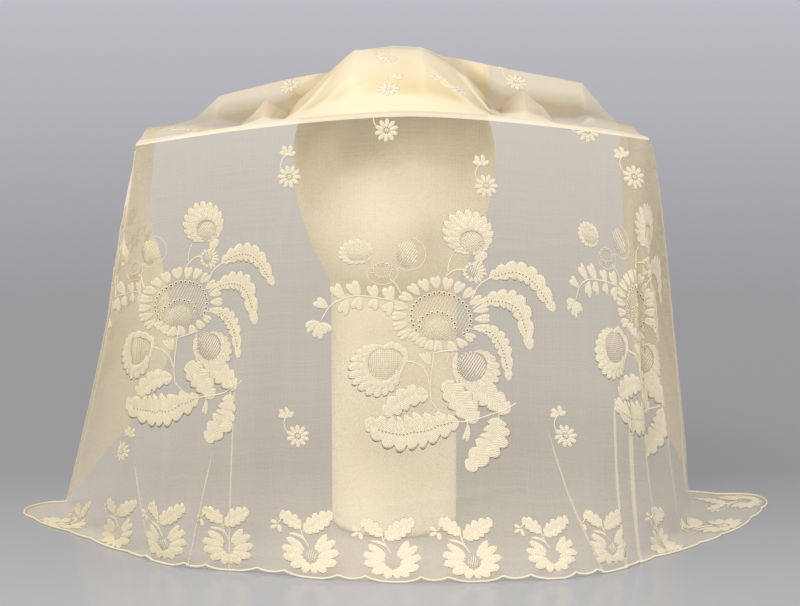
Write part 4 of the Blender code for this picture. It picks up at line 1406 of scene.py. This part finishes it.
# %% Where the sprays lie
# cloth, place of the sunflower's middle, size, and how far the left and right halves are drawn in
SPRAYS = {
    "spray_left": (front_map, (-0.179, -0.141, 0.235), 0.92, (1.12, 0.87)),
    "spray_middle": (front_map, (0.039, -0.141, 0.222), 1.0, (1.0, 1.0)),
    "spray_right": (front_map, (0.204, -0.138, 0.229), 1.02, (0.58, 0.76)),
    "spray_side_left": (side_maps["side_net_left"], (-0.225, -0.015, 0.215), 1.0, (1.0, 1.0)),
    "spray_side_right": (side_maps["side_net_right"], (0.225, -0.015, 0.215), 1.0, (1.0, 1.0)),
}
sprays = {}
for name, (cloth, place, size, narrow) in SPRAYS.items():
    sprays[name] = worked_piece(name, [lay(great_spray, cloth, place, size=size, narrow=narrow)])
    # the sprays on the side folds take the stitch material with painted shade
    if cloth is not front_map:
        sprays[name].data.materials[0] = painted_shade_stitch

# %% [markdown]
# ## Scattered sprigs and the border
#
# Between the sprays lie small sprigs, each a daisy and a bud on one curved stem. Along the hem runs a
# border: one flower for each long scallop, with a diamond middle that is barred in every second flower, a
# leaf on each side of its stem, and a bud.


# %% Sprigs
def sprig():
    petal = blade(((0, 0), (3.5, 0), (8.0, 0)), 2.0, 0.62, blunt=0.5)
    return gathered(
        [
            petal_ring(petal, 10, 2.2, -150, 324),
            eyelets(oval((0, 0), (0.4, 0.4), 0, 90, 3), 5.0, 1.0, 0.5),
            stems([((-2, 2), (-7, 8), (-6, 15), (-1, 20))], 0.0005),
            blade(((-1, 18), (-4, 20), (-8, 22)), 2.3, 0.6),
            blade(((-1, 18), (-3, 22), (-5, 27)), 2.3, 0.6),
            blade(((-1, 18), (1, 22), (1, 27)), 2.1, 0.6),
            blade(((-1, 19), (2, 19), (6, 21)), 2.3, 0.5),
        ]
    )


# for each cloth: place, and turn in degrees
SPRIGS = (
    (
        front_map,
        ((-0.087, -0.141, 0.344), 0),
        ((-0.005, -0.141, 0.383), 20),
        ((0.079, -0.141, 0.336), 10),
        ((-0.082, -0.142, 0.119), 25),
        ((0.148, -0.143, 0.119), 15),
        ((-0.238, -0.101, 0.093), -20),
        ((0.203, -0.141, 0.343), 30),
        ((0.163, -0.141, 0.381), 60),
        ((0.245, -0.080, 0.100), 0),
    ),
    (
        top_map,
        ((-0.006, -0.050, 0.432), 10),
        ((-0.005, -0.102, 0.413), -20),
        ((0.055, -0.085, 0.409), 70),
        ((0.111, 0.077, 0.395), 30),
        ((-0.095, 0.080, 0.392), -40),
        ((-0.178, -0.046, 0.370), 60),
    ),
    (side_maps["side_net_left"], ((-0.225, -0.090, 0.345), 0), ((-0.225, 0.050, 0.345), 15)),
    (side_maps["side_net_right"], ((0.225, -0.090, 0.345), 0), ((0.225, 0.050, 0.345), -15)),
    (
        back_map,
        ((-0.040, 0.110, 0.340), 0),
        ((0.035, 0.110, 0.290), 20),
        ((-0.020, 0.110, 0.230), -15),
        ((0.015, 0.110, 0.150), 10),
    ),
)
little_sprig = sprig()
laid_sprigs = [lay(little_sprig, cloth, place, turn) for cloth, *places in SPRIGS for place, turn in places]
sprigs = worked_piece("sprigs", laid_sprigs)

# %% Border flower
BORDER_PETALS = (
    ((-5, 4), (-12, 9), (-21, 13), 4.5),
    ((-6, 2), (-15, 3), (-27, 2.5), 4.6),
    ((-6, -2), (-15, -3), (-27, -6), 4.5),
    ((-4, -4), (-10, -7), (-20, -12.5), 4.3),
    ((-1.5, -6), (-4, -9), (-8, -15), 4.2),
    ((1, -6), (2, -9), (3, -15), 4.0),
    ((3, -5), (7, -9), (13, -14), 4.2),
    ((5, -3), (12, -6), (23, -9), 4.4),
    ((6, -1), (14, 0), (26, 0), 4.6),
    ((6, 3), (13, 7), (23, 10), 4.5),
    ((4, 5), (9, 10), (15, 18), 4.3),
)
BORDER_BUDS = (
    ((-3, 12), (-9, 17), (-19, 17.5), 1.7),
    ((-28, 25), (-31, 27), (-34, 29), 2.0),
    ((-28, 24), (-31, 23), (-35, 22), 2.0),
    ((-28, 24), (-27, 21), (-26, 16), 2.2),
)
BORDER_STEMS = (
    ((-1, 8), (-4, 13), (-7, 20), (-8, 26)),
    ((-7, 20), (-5, 22)),
    ((-23, 30), (-25, 28), (-28, 25)),
)
FLOWER_HEIGHT = 0.0185  # of its middle above the hem
FULL_PITCH = 0.066  # a flower with less room than this is drawn smaller


def border_flower(barred):
    parts = [blade(path, half_width, 0.58, blunt=0.55) for *path, half_width in BORDER_PETALS]
    parts += [blade(path, half_width, 0.6) for *path, half_width in BORDER_BUDS]
    parts += [
        stems(BORDER_STEMS, 0.0006),
        leaf(((-7, 24), (-15, 29), (-26, 33)), 8.0, 0.46, 4),
        leaf(((-5, 21), (6, 28), (21, 34)), 9.4, 0.46, 5),
        open_patch((0, 0), (7.5, 7.8), 4),
    ]
    if barred:
        parts += bars((0, 0), (7.6, 7.9), 75, 1.8, 0.45, diamond=True)
    return gathered(parts)


border_kinds = border_flower(True), border_flower(False)
laid_border = []
for number, place in enumerate(FLOWER_PLACES):
    across = int(np.abs(columns_along - place).argmin())
    lengths = front_map["down"][:, across]
    row = int(np.abs(lengths - (lengths[-1] - FLOWER_HEIGHT)).argmin())
    gap = min(abs(place - other) for other in FLOWER_PLACES if other != place) * HEM_LENGTH
    size = min(1.0, max(0.88, gap / FULL_PITCH))
    laid_border.append(lay(border_kinds[number % 2], front_map, front_grid[row, across], size=size))
border = worked_piece("border_flowers", laid_border)

# %% [markdown]
# ## The corded edges
#
# The hem ends in a thin cord sewn round the scallops. The fold at each side shows as a fine pale roll,
# because the net is seen edge-on there. Both are cords that follow a line, made with the cord tree.

# %% Hem cord and side rolls
CORD_RADIUS, ROLL_RADIUS, CORD_SIDES = 0.0009, 0.0007, 8
hem_line = front_grid[-1].copy()
hem_line[:, 2] = np.maximum(hem_line[:, 2], CORD_RADIUS + 0.0002)
roll_lines = [front_grid[2:-1:2, 0], front_grid[2:-1:2, -1]]


def corded(name, lines, radius, finish):
    mesh = run_tree(cord_tree, paths_mesh(lines), Radius=radius, Sides=CORD_SIDES)
    mesh.materials.clear()
    mesh.materials.append(finish)
    mesh.shade_smooth()
    return new_object(name, mesh)


hem_cord = corded("hem_cord", [hem_line], CORD_RADIUS, satin_stitch)
edge_rolls = corded("edge_rolls", roll_lines, ROLL_RADIUS, double_net)
print("hem cord:", len(hem_cord.data.polygons), "faces")

# %% [markdown]
# ## Stage, light and camera
#
# One wide floor fills the view from every side. Light and shade are painted into its colour: it is paler at
# hand and far off than just behind the veil, and it gives off a little light of its own, for the studio lamps
# that would light its far end.

# %% Floor
FLOOR_REACH = 9.0
# place from front to back, and the colour there, with light and shade painted in
PAINTED_LIGHT_TONES = (
    (-3.0, (104, 104, 106)),
    (-1.2, (136, 136, 138)),
    (-0.6, (168, 169, 171)),
    (0.10, (142, 142, 143)),
    (0.18, (134, 134, 134)),
    (1.0, (144, 144, 145)),
    (1.7, (168, 168, 170)),
    (2.8, (195, 195, 199)),
    (4.6, (218, 218, 223)),
)
floor_mesh = bpy.data.meshes.new("floor")
corners = ((-1, -1), (1, -1), (1, 1), (-1, 1))
floor_mesh.from_pydata([(x * FLOOR_REACH, y * FLOOR_REACH, 0.0) for x, y in corners], [], [(0, 1, 2, 3)])
floor = new_object("floor", floor_mesh)
floor_painted_light, tree, shader = new_material("floor_painted_light", seen(176, 178, 184), 0.16, 0.35)
floor_mesh.materials.append(floor_painted_light)
near, far = PAINTED_LIGHT_TONES[0][0], PAINTED_LIGHT_TONES[-1][0]
share = math_node(tree, "SUBTRACT", place_parts(tree, "Object")[1], near)
share = math_node(tree, "DIVIDE", share, far - near)
stops = [((place - near) / (far - near), seen(*tone)) for place, tone in PAINTED_LIGHT_TONES]
ramp = tinted(tree, shader, share, *stops)
# the painted tones also glow a little, as painted light
tree.links.new(ramp.outputs[0], shader["Emission Color"])
shader["Emission Strength"].default_value = 0.3


# %% Lamps and world
def soft_light(name, place, aim, size, power):
    lamp = bpy.data.lights.new(name, "AREA")
    lamp.shape = "RECTANGLE"
    lamp.size, lamp.size_y = size
    lamp.energy = power
    made = new_object(name, lamp)
    made.location = place
    made.rotation_euler = (Vector(aim) - Vector(place)).to_track_quat("-Z", "Y").to_euler()
    # the lamps light the floor but leave no bright patch mirrored in it
    made.visible_glossy = False


soft_light("key", (-0.6, -1.6, 2.3), (0, 0, 0.2), (1.2, 0.9), 40)
soft_light("fill", (1.4, -2.5, 1.1), (0, 0, 0.2), (1.8, 1.2), 28)
soft_light("left", (-2.2, -0.6, 1.0), (-0.1, 0, 0.2), (1.0, 1.0), 22)
soft_light("right", (2.2, -0.3, 1.0), (0.1, 0, 0.2), (1.0, 1.0), 11)
world = bpy.data.worlds.new("studio")
world.use_nodes = True
background = world.node_tree.nodes["Background"].inputs
background["Color"].default_value = (*seen(200, 200, 206), 1)
background["Strength"].default_value = 0.6
bpy.context.scene.world = world

# %% Camera
CAMERA_TILT = 12  # degrees down
camera_data = bpy.data.cameras.new("camera")
camera_data.lens, camera_data.sensor_width = 130.0, 36.0
camera = new_object("camera", camera_data)
camera.location = (0.0054, -2.5432, 0.7454)
camera.rotation_euler = (math.radians(90 - CAMERA_TILT), 0, 0)
bpy.context.scene.camera = camera

# %% [markdown]
# ## Fastening the pieces to the frame
#
# The veil has no moving parts, so every piece rides on the one body. Each stretch of cloth is listed
# with the size it was cut to: the cloth of the whole veil is one piece, so the sizes say how
# much of it each shell shows.

# %% Ride and replace
side_left, side_right = side_nets.values()
# piece, slot, and the solids that it replaces
PIECES = (
    (front_net, "net", "front_fall"),
    (top_net, "net", "crown", "wing_left", "wing_right"),
    (brow_tuck, "net", "brow_band"),
    (side_left, "net", "side_fall_left"),
    (side_right, "net", "side_fall_right"),
    (back_net, "net", "back_fall"),
    (hem_cord, "edging", "hem_edging_left", "hem_edging_front", "hem_edging_right"),
    (head_cover, "linen", "head_block"),
    (neck_cover, "linen", "neck_pillar"),
    *((piece, "edging") for piece in (*sprays.values(), sprigs, border)),
    (edge_rolls, "net"),
)
for piece, slot, *solids in PIECES:
    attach(piece, "root")
    if solids:
        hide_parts(*solids)

front_work = [sprays["spray_left"], sprays["spray_middle"], sprays["spray_right"], border, hem_cord, sprigs]
# piece, cut width and length, how it is held, what is sewn to it
SHEETS = (
    (front_net, (1.10, 0.42), "draped", front_work),
    (top_net, (0.56, 0.26), "draped", []),
    (brow_tuck, (0.44, 0.012), "folded", []),
    (side_left, (0.24, 0.37), "hung", [sprays["spray_side_left"]]),
    (side_right, (0.24, 0.37), "hung", [sprays["spray_side_right"]]),
    (back_net, (0.22, 0.34), "gathered", []),
)
for piece, flat, held, sewn in SHEETS:
    area = round(min(shell_area(piece), flat[0] * flat[1]), 4)
    print(piece.name, "shows", area, "of", round(flat[0] * flat[1], 4), "square metres")
    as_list(sewn)
